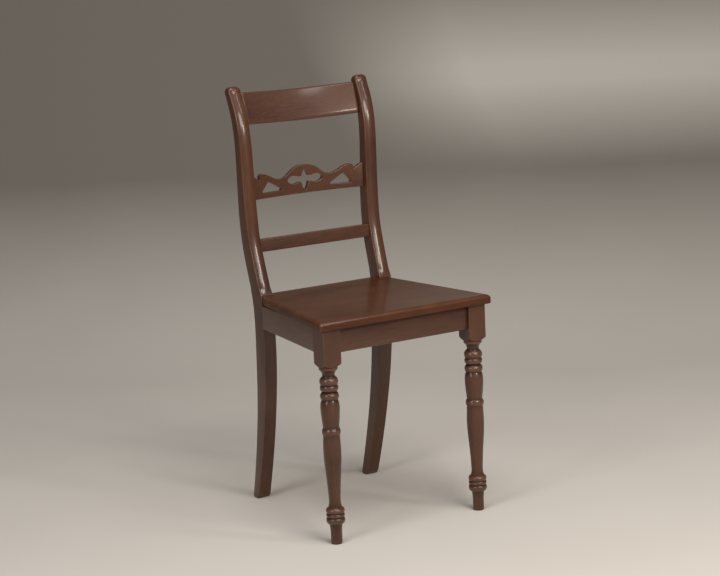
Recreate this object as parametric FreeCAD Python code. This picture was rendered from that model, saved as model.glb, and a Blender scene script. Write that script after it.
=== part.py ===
import FreeCAD, Part
import math
import os

from FreeCAD import Vector

# All sizes are in millimetres. While the chair is built, X is its width, Y runs back
# from the axes of the front legs and Z rises from the floor. At the end it is moved
# so that the middle of its footprint is the origin.

# Whole chair
SEAT_HEIGHT = 461.0  # floor to the top of the seat
OVERALL_HEIGHT = 897.0  # floor to the tops of the rear posts
LEG_SPACING = 347.0  # between the axes of the front legs
POST_SPACING = 277.6  # between the middles of the rear posts at the floor
POST_LEAN = 0.0179  # how far each rear post leans outwards, run over rise
FRAME_DEPTH = 287.5  # axes of the front legs to the front faces of the rear posts

# Fits
FIT = 0.1  # gap all round between a dowel, screw or tenon and its hole
END_GAP = 1.0  # empty end of a blind hole, where spare glue goes
SEAT_GAP = 0.4  # gap between the seat and the posts that it is notched round

# Front legs: a square block over a turned leg
BLOCK_SIDE = 40.4
BLOCK_DROP = 69.0  # seat's underside to the foot of the block's straight faces
BLOCK_CHAMFER = 7.0  # height in which the square corners run in to the round
CHAMFER_BULGE = 2.4  # how far the run-in's curve stays inside the block's corners
CHAMFER_MIDDLE = 0.62  # where along its height that is measured, from the top
FLANGE_HEIGHT = 6.0
FLANGE_RADIUS = 19.0
FLANGE_REST = 0.6  # flat of the block left round the flange
NECK_HEIGHT = 15.0
NECK_FOOT_RADIUS = 13.2
NECK_CURVE = ((0.233, 12.4), (0.5, 13.3), (0.747, 15.2))  # share of height, radius
BEADS_HEIGHT = 47.0
BEAD_TOPS = ((0.149, 19.0), (0.506, 18.6), (0.809, 18.9))
BEAD_GROOVES = ((0.347, 14.0), (0.638, 16.4))
UPPER_VASE_HEIGHT = 57.5
UPPER_VASE_FOOT_RADIUS = 16.1
UPPER_VASE_TOP_RADIUS = 16.2
UPPER_VASE = ((0.18, 17.2), (0.45, 18.7), (0.71, 19.4), (0.9, 18.2))
MIDDLE_RING_HEIGHT = 15.0
MIDDLE_RING_TOP = 0.47
RING_RADIUS = 19.0
LOWER_VASE_FOOT_RADIUS = 14.1
LOWER_VASE_TOP_RADIUS = 16.8
LOWER_VASE = (
    (0.05, 12.4), (0.14, 12.2), (0.26, 13.1), (0.46, 15.3), (0.65, 17.5), (0.8, 18.1),
)
FOOT_RINGS_HEIGHT = 35.0
FOOT_RING_TOPS = ((0.214, 19.2), (0.537, 18.8), (0.786, 19.0))
FOOT_RING_GROOVES = ((0.414, 16.8), (0.657, 16.8))
FOOT_HEIGHT = 41.0
FOOT_RADIUS = 11.6
FOOT_FLARE = ((0.5, 11.6), (0.85, 12.3), (1.0, 13.2))
FOOT_ROUNDING = 2.0
FOOT_BEVEL = 0.3  # share of the rounding that its middle is cut back

# Rear posts: curved sideways on, with a rounded front above the seat
POST_WIDTH = 28.6
POST_CROWN = 4.5  # how far the rounded front stands before its two edges
STOP_START = 3.0  # seat's top to the place where the rounding begins
STOP_LENGTH = 18.0  # height in which it reaches its full depth
STOP_CROWN = 0.6  # crown of the front where the rounding begins
STOP_LIFT = 3.0  # how far before the finished front the rounding begins
STOP_SECTIONS = (0.35, 0.7, 1.1)  # shares of its length where its shape is set
HEAD_SECTION = 0.945  # share of the back's height
POST_SPARE = 2.0  # wood on the sawn plank's upper front that the rounding takes off
POST_FOOT_CHAMFER = 5.0
HEAD_ROUNDING = 9.0  # of the head's two side edges

# The post's outline seen from the side: how high, as a share of the seat's height
# below it and of the back's height above it, and how far behind the front face
BACK_BELOW = ((0.0, 103.5), (0.22, 76.0), (0.48, 52.5), (0.74, 40.5), (0.9, 36.8))
FRONT_BELOW = ((0.0, 79.5), (0.22, 47.5), (0.48, 18.0), (0.72, 2.2), (0.85, 0.0))
BACK_ABOVE = (
    (0.0, 41.5), (0.092, 52.5), (0.183, 63.5), (0.275, 70.5), (0.37, 73.2),
    (0.55, 71.2), (0.73, 69.8), (0.824, 74.5), (0.915, 86.5), (0.97, 97.0),
)
FRONT_ABOVE = (
    (0.004, 0.0), (0.092, 10.5), (0.183, 23.0), (0.275, 33.0), (0.37, 36.8),
    (0.55, 39.4), (0.73, 40.5), (0.824, 46.0), (0.915, 59.0), (0.97, 71.5),
)

# Seat panel
SEAT_THICKNESS = 19.0
SEAT_FRONT_OVERHANG = 9.8  # past the fronts of the leg blocks
SEAT_SIDE_OVERHANG = 11.0  # past the sides of the leg blocks, at the front corners
SEAT_REAR_INSET = 2.4  # inside the posts' outer faces, where the sides meet them
SEAT_TAIL = 24.5  # how far the panel runs back between the posts
SEAT_TOP_ROUNDING = 8.0
SEAT_UNDER_ROUNDING = 3.0
SEAT_CORNER_RADIUS = 4.0

# Seat rails
RAIL_HEIGHT = 50.5
RAIL_THICKNESS = 22.0
RAIL_ROUNDING = 2.0
FRONT_RAIL_INSET = 8.2  # behind the fronts of the leg blocks
SIDE_RAIL_INSET = 4.0  # inside the sides of the leg blocks
REAR_RAIL_INSET = 3.0  # behind the front faces of the posts

# Dowels in the seat rails
DOWEL_RADIUS = 4.0
DOWEL_LENGTH = 36.0
DOWEL_CHAMFER = 1.0
SIDE_DOWEL_LEVELS = (0.2, 0.6)  # shares of the rail's height
CROSS_DOWEL_LEVELS = (0.4, 0.8)

# Corner blocks and their screws
CORNER_HEIGHT = 28.0
CORNER_GAP = 0.5  # gap to the leg or post in the corner
SCREW_RADIUS = 2.0
SCREW_HEAD_RADIUS = 4.0
SCREW_HEAD_HEIGHT = 2.6
SCREW_TIP_RADIUS = 0.3
CORNER_SCREW_CLEARANCE = 9.0  # from the ends of the dowels to the screws' middles
CORNER_SCREW_GRIP = 12.0  # wood left under the head
CORNER_SCREW_LENGTH = 28.0
CORNER_BLOCK_END = 20.0  # from the screws to the block's tips
SEAT_SCREW_SHARE = 0.4  # in from both rails, as a share of the block's length
SEAT_SCREW_LENGTH = 38.0

# Crest rail between the posts: a bowed and tilted board with rounded edges
CREST_LEVEL = 0.892  # its middle, as a share of the back's height
CREST_HEIGHT = 69.5
CREST_THICKNESS = 11.5
CREST_TILT = 17.0
CREST_BOW = 13.5
CREST_ROUNDING = 4.5
CREST_TENON = (6.0, 48.0)  # thickness and height

# Pierced rail: a bowed upright board with a scrolled top
PIERCED_LEVEL = 0.449  # its lower edge, as a share of the back's height
PIERCED_THICKNESS = 10.0
PIERCED_BOW = 15.0
PIERCED_BACK_INSET = 4.5  # before the backs of the posts
PIERCED_TENON = (5.0, 34.0)
EAR_HEIGHT = 55.5  # of its ends, at the posts
SCROLL_HEIGHT = 52.5
DIP_HEIGHT = 36.3
CROWN_HEIGHT = 60.8

# Its scrolled top: places are measured from the middle, heights from the lower edge
NOTCH_PLACE = 116.0
NOTCH_HEIGHT = 40.8
SCROLL_END = (115.5, 46.5)
SCROLL_CURVE = (113.2, 50.9)
SCROLL_PLACE = 108.0
DIP_PLACE = 63.0
DIP_TO_SCROLL = ((98.0, 0.864), (79.0, 0.296))  # place, share of the rise
DIP_TO_CROWN = ((49.0, 0.114), (30.0, 0.673), (14.0, 0.951))

# Its openings: a slit crossed by two round-ended arms, and a triangle at each side
SLIT_FOOT = 5.3
SLIT_TOP = 53.0
SLIT_CURVE = ((0.1, 4.3), (0.3, 7.6), (0.5, 8.5), (0.7, 7.6), (0.9, 4.3))  # share, half width
ARM_LEVEL = 30.5
ARM_CURVE = ((13.0, 6.0), (20.0, 7.6), (27.5, 9.0), (35.0, 7.6), (40.5, 4.4))  # place, half height
ARM_ROOT = (0.0, 6.0)
ARM_END = 43.0
TRIANGLE = ((54.0, 11.5), (93.0, 35.0), (112.5, 12.0))
TRIANGLE_ROUNDING = 2.5

# Lower back rail
LOWER_RAIL_LEVEL = 0.1985  # its lower edge, as a share of the back's height
LOWER_RAIL_HEIGHT = 27.6
LOWER_RAIL_THICKNESS = 16.0
LOWER_RAIL_TILT = 6.0
LOWER_RAIL_INSET = 9.5  # behind the posts' rounded fronts
LOWER_RAIL_ROUNDING = 2.5
LOWER_RAIL_TENON = (8.0, 18.0)

# Stub tenons of the three back rails
TENON_LENGTH = 12.0
TENON_ROOT = 3.0  # how far a tenon runs back into its rail

# Places that follow from the sizes
SEAT_UNDERSIDE = SEAT_HEIGHT - SEAT_THICKNESS
RAIL_BOTTOM = SEAT_UNDERSIDE - RAIL_HEIGHT
BACK_HEIGHT = OVERALL_HEIGHT - SEAT_HEIGHT
LEG_X = LEG_SPACING / 2
BLOCK_HALF = BLOCK_SIDE / 2
BLOCK_INNER = LEG_X - BLOCK_HALF

# Helps for cutting
WIDE = 1000.0  # longer than the chair, for shapes that are cut to length
SPARE = 5.0  # how far a cutting shape runs past the wood
TOUCH = 0.01  # places nearer than this are the same
BOARD_SPARE = 1.2  # length of a sawn board over the gap between the posts


def below(share):
    return share * SEAT_HEIGHT


def above(share):
    return SEAT_HEIGHT + share * BACK_HEIGHT


def post_middle(z):
    return POST_SPACING / 2 + POST_LEAN * z


def post_inner(z):
    return post_middle(z) - POST_WIDTH / 2


def post_outer(z):
    return post_middle(z) + POST_WIDTH / 2


def box(x0, x1, y0, y1, z0, z1):
    return Part.makeBox(x1 - x0, y1 - y0, z1 - z0, Vector(x0, y0, z0))


def face_of(edges):
    return Part.Face(Part.Wire(Part.__sortEdges__(edges)))


def polygon(points):
    return Part.Face(Part.makePolygon(points + points[:1]))


def curve(points):
    spline = Part.BSplineCurve()
    spline.interpolate(points)
    return spline


def line(start, end):
    return Part.makeLine(start, end)


def arc(start, middle, end):
    return Part.Arc(start, middle, end).toShape()


def mirrored(shape):
    return shape.mirror(Vector(0, 0, 0), Vector(1, 0, 0))


def rounded(shape, radius, picks):
    """Round the edges that picks chooses."""
    return shape.makeFillet(radius, [edge for edge in shape.Edges if picks(edge)])


def joined(first, *rest):
    return first.multiFuse(list(rest)).removeSplitter() if rest else first


def without(shape, cutters):
    return shape.cut(Part.makeCompound(cutters)) if cutters else shape


# Rear posts


def post_curve(low, high):
    points = [Vector(0, FRAME_DEPTH + y, below(share)) for share, y in low]
    points += [Vector(0, FRAME_DEPTH + y, above(share)) for share, y in high]
    return curve(points)


def depth_at(spline, z):
    """Y of a rising curve at the height z."""
    low, high = spline.FirstParameter, spline.LastParameter
    for _ in range(50):
        middle = (low + high) / 2
        if spline.value(middle).z < z:
            low = middle
        else:
            high = middle
    return spline.value(low).y


BACK_CURVE = post_curve(BACK_BELOW, BACK_ABOVE)
FRONT_LOW_CURVE = post_curve(FRONT_BELOW, ())
FRONT_HIGH_CURVE = post_curve((), FRONT_ABOVE)


def post_blank():
    """The post as sawn out of a plank, with a little spare wood on its upper front."""
    spare = Vector(0, -POST_SPARE, 0)
    high = curve([FRONT_HIGH_CURVE.value(FRONT_HIGH_CURVE.FirstParameter)] + [
        Vector(0, FRAME_DEPTH + y, above(share)) + spare for share, y in FRONT_ABOVE[1:]
    ])
    knee = FRONT_LOW_CURVE.value(FRONT_LOW_CURVE.LastParameter)
    neck = high.value(high.FirstParameter)
    front_tip = high.value(high.LastParameter)
    back_tip = BACK_CURVE.value(BACK_CURVE.LastParameter)
    head = Vector(0, (front_tip.y + back_tip.y) / 2, OVERALL_HEIGHT)
    toe = FRONT_LOW_CURVE.value(FRONT_LOW_CURVE.FirstParameter)
    heel = BACK_CURVE.value(BACK_CURVE.FirstParameter)
    side = face_of([
        FRONT_LOW_CURVE.toShape(),
        line(knee, neck),
        high.toShape(),
        arc(front_tip, head, back_tip),
        BACK_CURVE.toShape(),
        line(heel, toe),
    ])
    start = POST_SPACING / 2 - POST_WIDTH
    side.translate(Vector(start, 0, 0))
    plank = side.extrude(Vector(2 * POST_WIDTH + POST_LEAN * OVERALL_HEIGHT, 0, 0))
    return plank.common(post_cheeks())


def post_cheeks():
    """The space between the post's two leaning sides, rounded off at the top."""
    top = OVERALL_HEIGHT
    low = top - HEAD_ROUNDING
    inner, outer = post_inner(low), post_outer(low)
    diagonal = HEAD_ROUNDING * (1 - math.sqrt(0.5))
    outline = face_of([
        line(Vector(post_inner(0), 0, 0), Vector(post_outer(0), 0, 0)),
        line(Vector(post_outer(0), 0, 0), Vector(outer, 0, low)),
        arc(
            Vector(outer, 0, low),
            Vector(outer - diagonal, 0, top - diagonal),
            Vector(outer - HEAD_ROUNDING, 0, top),
        ),
        line(Vector(outer - HEAD_ROUNDING, 0, top), Vector(inner + HEAD_ROUNDING, 0, top)),
        arc(
            Vector(inner + HEAD_ROUNDING, 0, top),
            Vector(inner + diagonal, 0, top - diagonal),
            Vector(inner, 0, low),
        ),
        line(Vector(inner, 0, low), Vector(post_inner(0), 0, 0)),
    ])
    return outline.extrude(Vector(0, WIDE, 0))


def crown_section(z):
    """Closed section of the rounded front at one height; it runs far to the back."""
    start = SEAT_HEIGHT + STOP_START
    share = min(max((z - start) / STOP_LENGTH, 0.0), 1.0)
    ease = share * share * (3 - 2 * share)
    rise = STOP_CROWN + (POST_CROWN - STOP_CROWN) * ease
    lift = STOP_LIFT * (1 - ease)
    middle = post_middle(z)
    half = POST_WIDTH / 2
    reach = half + SPARE / 5
    front = depth_at(FRONT_HIGH_CURVE, z) - lift
    edge = front + rise * (reach / half) ** 2
    left = Vector(middle - reach, edge, z)
    right = Vector(middle + reach, edge, z)
    back_right = Vector(middle + reach, front + 3 * POST_WIDTH, z)
    back_left = Vector(middle - reach, front + 3 * POST_WIDTH, z)
    return Part.Wire([
        arc(left, Vector(middle, front, z), right),
        line(right, back_right),
        line(back_right, back_left),
        line(back_left, left),
    ])


def post_shape():
    """One rear post, on the side where X is positive, before its joints are cut."""
    start = SEAT_HEIGHT + STOP_START
    top = OVERALL_HEIGHT + SPARE
    levels = [start - SPARE, top, above(HEAD_SECTION)]
    levels += [start + share * STOP_LENGTH for share in STOP_SECTIONS]
    levels += [above(share) for share, _ in FRONT_ABOVE[2:]]
    core = Part.makeLoft([crown_section(z) for z in sorted(levels)], True, False)
    back = FRAME_DEPTH + FRONT_ABOVE[-1][1] + POST_CROWN + SPARE
    outside = post_outer(OVERALL_HEIGHT) + SPARE
    inside = post_inner(0) - SPARE
    shaving = box(inside, outside, 0, back, start - SPARE, top - SPARE / 5)
    post = post_blank().cut(shaving.cut(core))
    return post.cut(foot_chamfers())


def foot_chamfers():
    """Wedges that take the sharp heel and toe off the foot."""
    heel = BACK_CURVE.value(BACK_CURVE.FirstParameter)
    toe = FRONT_LOW_CURVE.value(FRONT_LOW_CURVE.FirstParameter)
    wedges = []
    for corner, sign in ((heel, -1), (toe, 1)):
        down = Vector(0, 0, -SPARE)
        inside = corner + Vector(0, sign * POST_FOOT_CHAMFER, 0)
        beyond = corner + Vector(0, -sign * 2 * POST_FOOT_CHAMFER, 0)
        over = beyond + Vector(0, 0, 3 * POST_FOOT_CHAMFER)
        wedge = polygon([inside + down, inside, over, beyond + down])
        wedges.append(wedge.extrude(Vector(WIDE, 0, 0)))
    return Part.makeCompound(wedges)


def between_posts():
    """The space between the inner faces of the two posts."""
    top = OVERALL_HEIGHT + SPARE
    return polygon([
        Vector(-post_inner(0), 0, 0),
        Vector(post_inner(0), 0, 0),
        Vector(post_inner(top), 0, top),
        Vector(-post_inner(top), 0, top),
    ]).extrude(Vector(0, WIDE, 0))


# Front legs


def turned_outline():
    """Edges of the turned leg's outline, from its foot up to the flange."""
    top = SEAT_UNDERSIDE - BLOCK_DROP - BLOCK_CHAMFER
    flange = top - FLANGE_HEIGHT
    neck = flange - NECK_HEIGHT
    beads = neck - BEADS_HEIGHT
    upper_vase = beads - UPPER_VASE_HEIGHT
    middle_ring = upper_vase - MIDDLE_RING_HEIGHT
    rings = FOOT_HEIGHT
    lower_vase = rings + FOOT_RINGS_HEIGHT

    def at(radius, z):
        return Vector(radius, 0, z)

    def within(low, high, turned):
        return [at(radius, low + share * (high - low)) for share, radius in turned]

    bevel = FOOT_BEVEL * FOOT_ROUNDING
    sole = at(FOOT_RADIUS - FOOT_ROUNDING, 0)
    foot = at(FOOT_RADIUS, FOOT_ROUNDING)
    flare = within(0, rings, FOOT_FLARE)
    ring_tops = within(rings, lower_vase, FOOT_RING_TOPS)
    ring_grooves = within(rings, lower_vase, FOOT_RING_GROOVES)
    ankle = at(LOWER_VASE_FOOT_RADIUS, lower_vase)
    ring_foot = at(LOWER_VASE_TOP_RADIUS, middle_ring)
    ring_crest = at(RING_RADIUS, middle_ring + MIDDLE_RING_TOP * MIDDLE_RING_HEIGHT)
    ring_head = at(UPPER_VASE_FOOT_RADIUS, upper_vase)
    vase_top = at(UPPER_VASE_TOP_RADIUS, beads)
    bead_tops = within(beads, neck, BEAD_TOPS)
    bead_grooves = within(beads, neck, BEAD_GROOVES)
    neck_foot = at(NECK_FOOT_RADIUS, neck)
    neck_low, neck_middle, neck_high = within(neck, flange, NECK_CURVE)
    flange_foot = at(FLANGE_RADIUS, flange)
    flange_top = at(FLANGE_RADIUS, top)
    lower_curve = curve([ankle] + within(lower_vase, middle_ring, LOWER_VASE) + [ring_foot])
    upper_curve = curve([ring_head] + within(upper_vase, beads, UPPER_VASE) + [vase_top])
    return [
        line(at(0, 0), sole),
        arc(sole, at(FOOT_RADIUS - bevel, bevel), foot),
        line(foot, flare[0]),
        curve(flare).toShape(),
        arc(flare[-1], ring_tops[0], ring_grooves[0]),
        arc(ring_grooves[0], ring_tops[1], ring_grooves[1]),
        arc(ring_grooves[1], ring_tops[2], ankle),
        lower_curve.toShape(),
        arc(ring_foot, ring_crest, ring_head),
        upper_curve.toShape(),
        arc(vase_top, bead_tops[0], bead_grooves[0]),
        arc(bead_grooves[0], bead_tops[1], bead_grooves[1]),
        arc(bead_grooves[1], bead_tops[2], neck_foot),
        arc(neck_foot, neck_low, neck_middle),
        arc(neck_middle, neck_high, flange_foot),
        line(flange_foot, flange_top),
        line(flange_top, at(0, top)),
        line(at(0, top), at(0, 0)),
    ]


def leg_shape():
    """One front leg, where X is positive, before its joints are cut."""
    turned = face_of(turned_outline()).revolve(Vector(0, 0, 0), Vector(0, 0, 1), 360)
    foot_of_block = SEAT_UNDERSIDE - BLOCK_DROP
    shoulder = foot_of_block - BLOCK_CHAMFER
    block = box(-BLOCK_HALF, BLOCK_HALF, -BLOCK_HALF, BLOCK_HALF, shoulder, SEAT_UNDERSIDE)
    corner = BLOCK_HALF * math.sqrt(2) + FIT
    inner = Vector(FLANGE_RADIUS + FLANGE_REST, 0, shoulder)
    outer = Vector(corner, 0, foot_of_block)
    bulge = Vector(corner - CHAMFER_BULGE, 0, foot_of_block - CHAMFER_MIDDLE * BLOCK_CHAMFER)
    round_in = face_of([
        line(Vector(0, 0, shoulder), inner),
        arc(inner, bulge, outer),
        line(outer, Vector(corner, 0, SEAT_UNDERSIDE)),
        line(Vector(corner, 0, SEAT_UNDERSIDE), Vector(0, 0, SEAT_UNDERSIDE)),
        line(Vector(0, 0, SEAT_UNDERSIDE), Vector(0, 0, shoulder)),
    ]).revolve(Vector(0, 0, 0), Vector(0, 0, 1), 360)
    leg = joined(turned, block.common(round_in))
    leg.translate(Vector(LEG_X, 0, 0))
    return leg


# Seat rails


def side_line():
    """The outer face of the side rail where X is positive: its two ends, seen from above."""
    front = Vector(LEG_X + BLOCK_HALF - SIDE_RAIL_INSET, BLOCK_HALF, 0)
    back = Vector(post_outer(RAIL_BOTTOM + RAIL_HEIGHT / 2), FRAME_DEPTH, 0)
    return front, back


def side_direction():
    front, back = side_line()
    return (back - front).normalize()


def inward():
    """From the side rail's outer face straight towards its inner one."""
    along = side_direction()
    return Vector(-along.y, along.x, 0)


def bottom_edge(edge):
    """True for a long edge at the foot of the rails."""
    level = edge.BoundBox.ZMax < RAIL_BOTTOM + TOUCH
    return level and edge.Length > 3 * RAIL_THICKNESS


def cross_rail(half_length, front):
    back = front + RAIL_THICKNESS
    return box(-half_length, half_length, front, back, RAIL_BOTTOM, SEAT_UNDERSIDE)


def front_rail_shape():
    front = FRONT_RAIL_INSET - BLOCK_HALF
    return rounded(cross_rail(BLOCK_INNER, front), RAIL_ROUNDING, bottom_edge)


def rear_rail_shape():
    rail = cross_rail(WIDE / 2, FRAME_DEPTH + REAR_RAIL_INSET).common(between_posts())
    return rounded(rail, RAIL_ROUNDING, bottom_edge)


def side_rail_shape():
    """The side rail where X is positive, square ended against the block and the post."""
    front, back = side_line()
    along = side_direction()
    depth = inward() * RAIL_THICKNESS
    early = front - along * RAIL_THICKNESS
    late = back + along * RAIL_THICKNESS
    plan = polygon([early, late, late + depth, early + depth])
    plan.translate(Vector(0, 0, RAIL_BOTTOM))
    rail = plan.extrude(Vector(0, 0, RAIL_HEIGHT))
    rail = rail.common(box(0, WIDE, BLOCK_HALF, FRAME_DEPTH, 0, SEAT_HEIGHT))
    return rounded(rail, RAIL_ROUNDING, bottom_edge)


# Dowels and screws


def pin(middle, along, length, radius):
    start = middle - along * (length / 2)
    return Part.makeCylinder(radius, length, start, along)


def dowel(middle, along):
    body = pin(middle, along, DOWEL_LENGTH, DOWEL_RADIUS)
    ends = [edge for edge in body.Edges if edge.Closed]
    return body.makeChamfer(DOWEL_CHAMFER, ends)


def dowel_hole(middle, along):
    return pin(middle, along, DOWEL_LENGTH + 2 * END_GAP, DOWEL_RADIUS + FIT)


def cross_dowel_places(x_of, y):
    """Where the dowels of a front or rear rail cross its two end joints."""
    places = []
    for share in CROSS_DOWEL_LEVELS:
        z = RAIL_BOTTOM + share * RAIL_HEIGHT
        places += [(Vector(side * x_of(z), y, z), Vector(1, 0, 0)) for side in (-1, 1)]
    return places


def side_dowel_places():
    """Where the dowels of the side rail on the positive side cross its joints."""
    front, back = side_line()
    middle = inward() * (RAIL_THICKNESS / 2)
    along = side_direction()
    places = []
    for share in SIDE_DOWEL_LEVELS:
        z = Vector(0, 0, RAIL_BOTTOM + share * RAIL_HEIGHT)
        places += [(end + middle + z, along) for end in (front, back)]
    return places


def screw(head, along, length):
    """A countersunk screw whose flat head lies at the point head."""
    cone = Part.makeCone(SCREW_HEAD_RADIUS, SCREW_RADIUS, SCREW_HEAD_HEIGHT, head, along)
    shank = length - SCREW_HEAD_HEIGHT - SCREW_RADIUS
    body = Part.makeCylinder(SCREW_RADIUS, shank, head + along * SCREW_HEAD_HEIGHT, along)
    tip_start = head + along * (SCREW_HEAD_HEIGHT + shank)
    tip = Part.makeCone(SCREW_RADIUS, SCREW_TIP_RADIUS, SCREW_RADIUS, tip_start, along)
    return joined(cone, body, tip)


def screw_hole(head, along, length):
    """The screw's countersunk hole, with the way in for its head."""
    way_in = 2 * corner_block_leg()
    cone = Part.makeCone(
        SCREW_HEAD_RADIUS + FIT, SCREW_RADIUS + FIT, SCREW_HEAD_HEIGHT, head, along
    )
    body = Part.makeCylinder(SCREW_RADIUS + FIT, length + END_GAP, head, along)
    entry = Part.makeCylinder(SCREW_HEAD_RADIUS + FIT, way_in, head - along * way_in, along)
    return joined(cone, body, entry)


# Corner blocks


def front_corner():
    """The front corner where the rails' inner faces would meet, and their directions."""
    front, _ = side_line()
    along = side_direction()
    start = front + inward() * RAIL_THICKNESS
    y = FRONT_RAIL_INSET - BLOCK_HALF + RAIL_THICKNESS
    corner = start + along * ((y - start.y) / along.y)
    return corner, Vector(-1, 0, 0), along


def rear_corner():
    front, _ = side_line()
    along = side_direction()
    start = front + inward() * RAIL_THICKNESS
    y = FRAME_DEPTH + REAR_RAIL_INSET
    corner = start + along * ((y - start.y) / along.y)
    return corner, Vector(-1, 0, 0), along * -1


def corner_screw_run():
    """From the corner along either rail to the screws, which stand clear of all dowels."""
    reach = DOWEL_LENGTH / 2 + END_GAP
    front, _, along = front_corner()
    rear, _, _ = rear_corner()
    runs = [
        front.x - BLOCK_INNER + reach,
        rear.x - post_inner(RAIL_BOTTOM) + reach,
        (BLOCK_HALF - front.y) / along.y + reach,
        (rear.y - FRAME_DEPTH) / along.y + reach,
    ]
    return max(runs) + CORNER_SCREW_CLEARANCE


def corner_block_leg():
    """Length of a corner block along each rail."""
    return corner_screw_run() + CORNER_BLOCK_END


def corner_block_shape(corner, cross, along, post_room):
    """A three-cornered block against both rails, cut out round the leg or post."""
    base = Vector(0, 0, SEAT_UNDERSIDE - CORNER_HEIGHT)
    leg = corner_block_leg()
    plan = polygon([corner, corner + cross * leg, corner + along * leg])
    plan.translate(base)
    return plan.extrude(Vector(0, 0, CORNER_HEIGHT)).cut(post_room)


def corner_screw_places(corner, cross, along):
    """Head and direction of the screws from a corner block into its two rails."""
    level = Vector(0, 0, SEAT_UNDERSIDE - CORNER_HEIGHT / 2)
    places = []
    for run, into in ((cross, square_to(cross, along)), (along, square_to(along, cross))):
        at_rail = corner + run * corner_screw_run() + level
        places.append((at_rail - into * CORNER_SCREW_GRIP, into))
    return places


def square_to(run, other):
    """The level direction at right angles to run that points away from other."""
    side = Vector(-run.y, run.x, 0)
    return side if side.dot(other) < 0 else side * -1


def seat_screw_place(corner, cross, along):
    place = corner + (cross + along) * (SEAT_SCREW_SHARE * corner_block_leg())
    return place + Vector(0, 0, SEAT_UNDERSIDE - CORNER_HEIGHT), Vector(0, 0, 1)


# Seat panel


def seat_panel_shape():
    front = -BLOCK_HALF - SEAT_FRONT_OVERHANG
    corner = LEG_X + BLOCK_HALF + SEAT_SIDE_OVERHANG
    at_post = post_outer(SEAT_HEIGHT) - SEAT_REAR_INSET
    notch = FRAME_DEPTH - SEAT_GAP
    tail = post_inner(SEAT_UNDERSIDE) - SEAT_GAP
    back = FRAME_DEPTH + SEAT_TAIL
    half = [(corner, front), (at_post, notch), (tail, notch), (tail, back)]
    points = [Vector(x, y, SEAT_UNDERSIDE) for x, y in half]
    points += [Vector(-x, y, SEAT_UNDERSIDE) for x, y in reversed(half)]
    panel = polygon(points).extrude(Vector(0, 0, SEAT_THICKNESS))

    def front_corner_edge(edge):
        return edge.BoundBox.YMax < front + TOUCH and edge.BoundBox.ZLength > TOUCH

    panel = rounded(panel, SEAT_CORNER_RADIUS, front_corner_edge)

    def rim(edge, z):
        bound = edge.BoundBox
        level = abs(bound.ZMin - z) < TOUCH and abs(bound.ZMax - z) < TOUCH
        return level and bound.YMin < notch - TOUCH

    panel = rounded(panel, SEAT_TOP_ROUNDING, lambda edge: rim(edge, SEAT_HEIGHT))
    return rounded(panel, SEAT_UNDER_ROUNDING, lambda edge: rim(edge, SEAT_UNDERSIDE))


# Back rails


def bowed_slab(front, thickness, bow, low, high):
    """An upright slab, bowed back in the middle; front is its depth at the posts."""
    half = post_inner((low + high) / 2)

    def bow_edge(depth):
        end = depth + bow - bow * BOARD_SPARE ** 2
        left, right = [Vector(side * BOARD_SPARE * half, end, low) for side in (-1, 1)]
        return left, arc(left, Vector(0, depth + bow, low), right), right

    left_a, edge_a, right_a = bow_edge(front)
    left_b, edge_b, right_b = bow_edge(front + thickness)
    plan = face_of([edge_a, line(right_a, right_b), edge_b, line(left_b, left_a)])
    return plan.extrude(Vector(0, 0, high - low))


def tenon_blocks(depth, level, sizes, grow=0.0):
    """Stub tenons at both ends of a back rail, centred on depth and level."""
    thickness, height = sizes[0] + 2 * grow, sizes[1] + 2 * grow
    inner = post_inner(level)
    length = TENON_LENGTH + (END_GAP if grow else 0.0)
    blocks = []
    for side in (-1, 1):
        x0, x1 = sorted((side * (inner - TENON_ROOT), side * (inner + length)))
        blocks.append(box(x0, x1, -thickness / 2, thickness / 2, -height / 2, height / 2))
    group = Part.makeCompound(blocks)
    group.translate(Vector(0, depth, level))
    return group


def tilted(shape, depth, level, degrees):
    """Lean a shape back about the line at that depth and level."""
    turned = shape.copy()
    turned.rotate(Vector(0, depth, level), Vector(1, 0, 0), -degrees)
    return turned


def crest_place():
    """Depth and level of the middle of the crest rail's ends."""
    level = above(CREST_LEVEL)
    depth = depth_at(BACK_CURVE, level) - CREST_THICKNESS / 2
    return depth, level


def crest_rail_shape():
    depth, level = crest_place()
    low = level - CREST_HEIGHT / 2
    front = depth - CREST_THICKNESS / 2
    slab = bowed_slab(front, CREST_THICKNESS, CREST_BOW, low, low + CREST_HEIGHT)
    board = tilted(slab, depth, level, CREST_TILT).common(between_posts())
    long_edges = [edge for edge in board.Edges if edge.Length > post_inner(level)]
    return board.makeFillet(CREST_ROUNDING, long_edges)


def crest_tenons(grow=0.0):
    depth, level = crest_place()
    return tilted(tenon_blocks(depth, level, CREST_TENON, grow), depth, level, CREST_TILT)


def pierced_place():
    """Depth of the pierced rail's front at the posts, and the level of its lower edge."""
    level = above(PIERCED_LEVEL)
    back = depth_at(BACK_CURVE, level + CROWN_HEIGHT / 2)
    return back - PIERCED_BACK_INSET - PIERCED_THICKNESS, level


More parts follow.
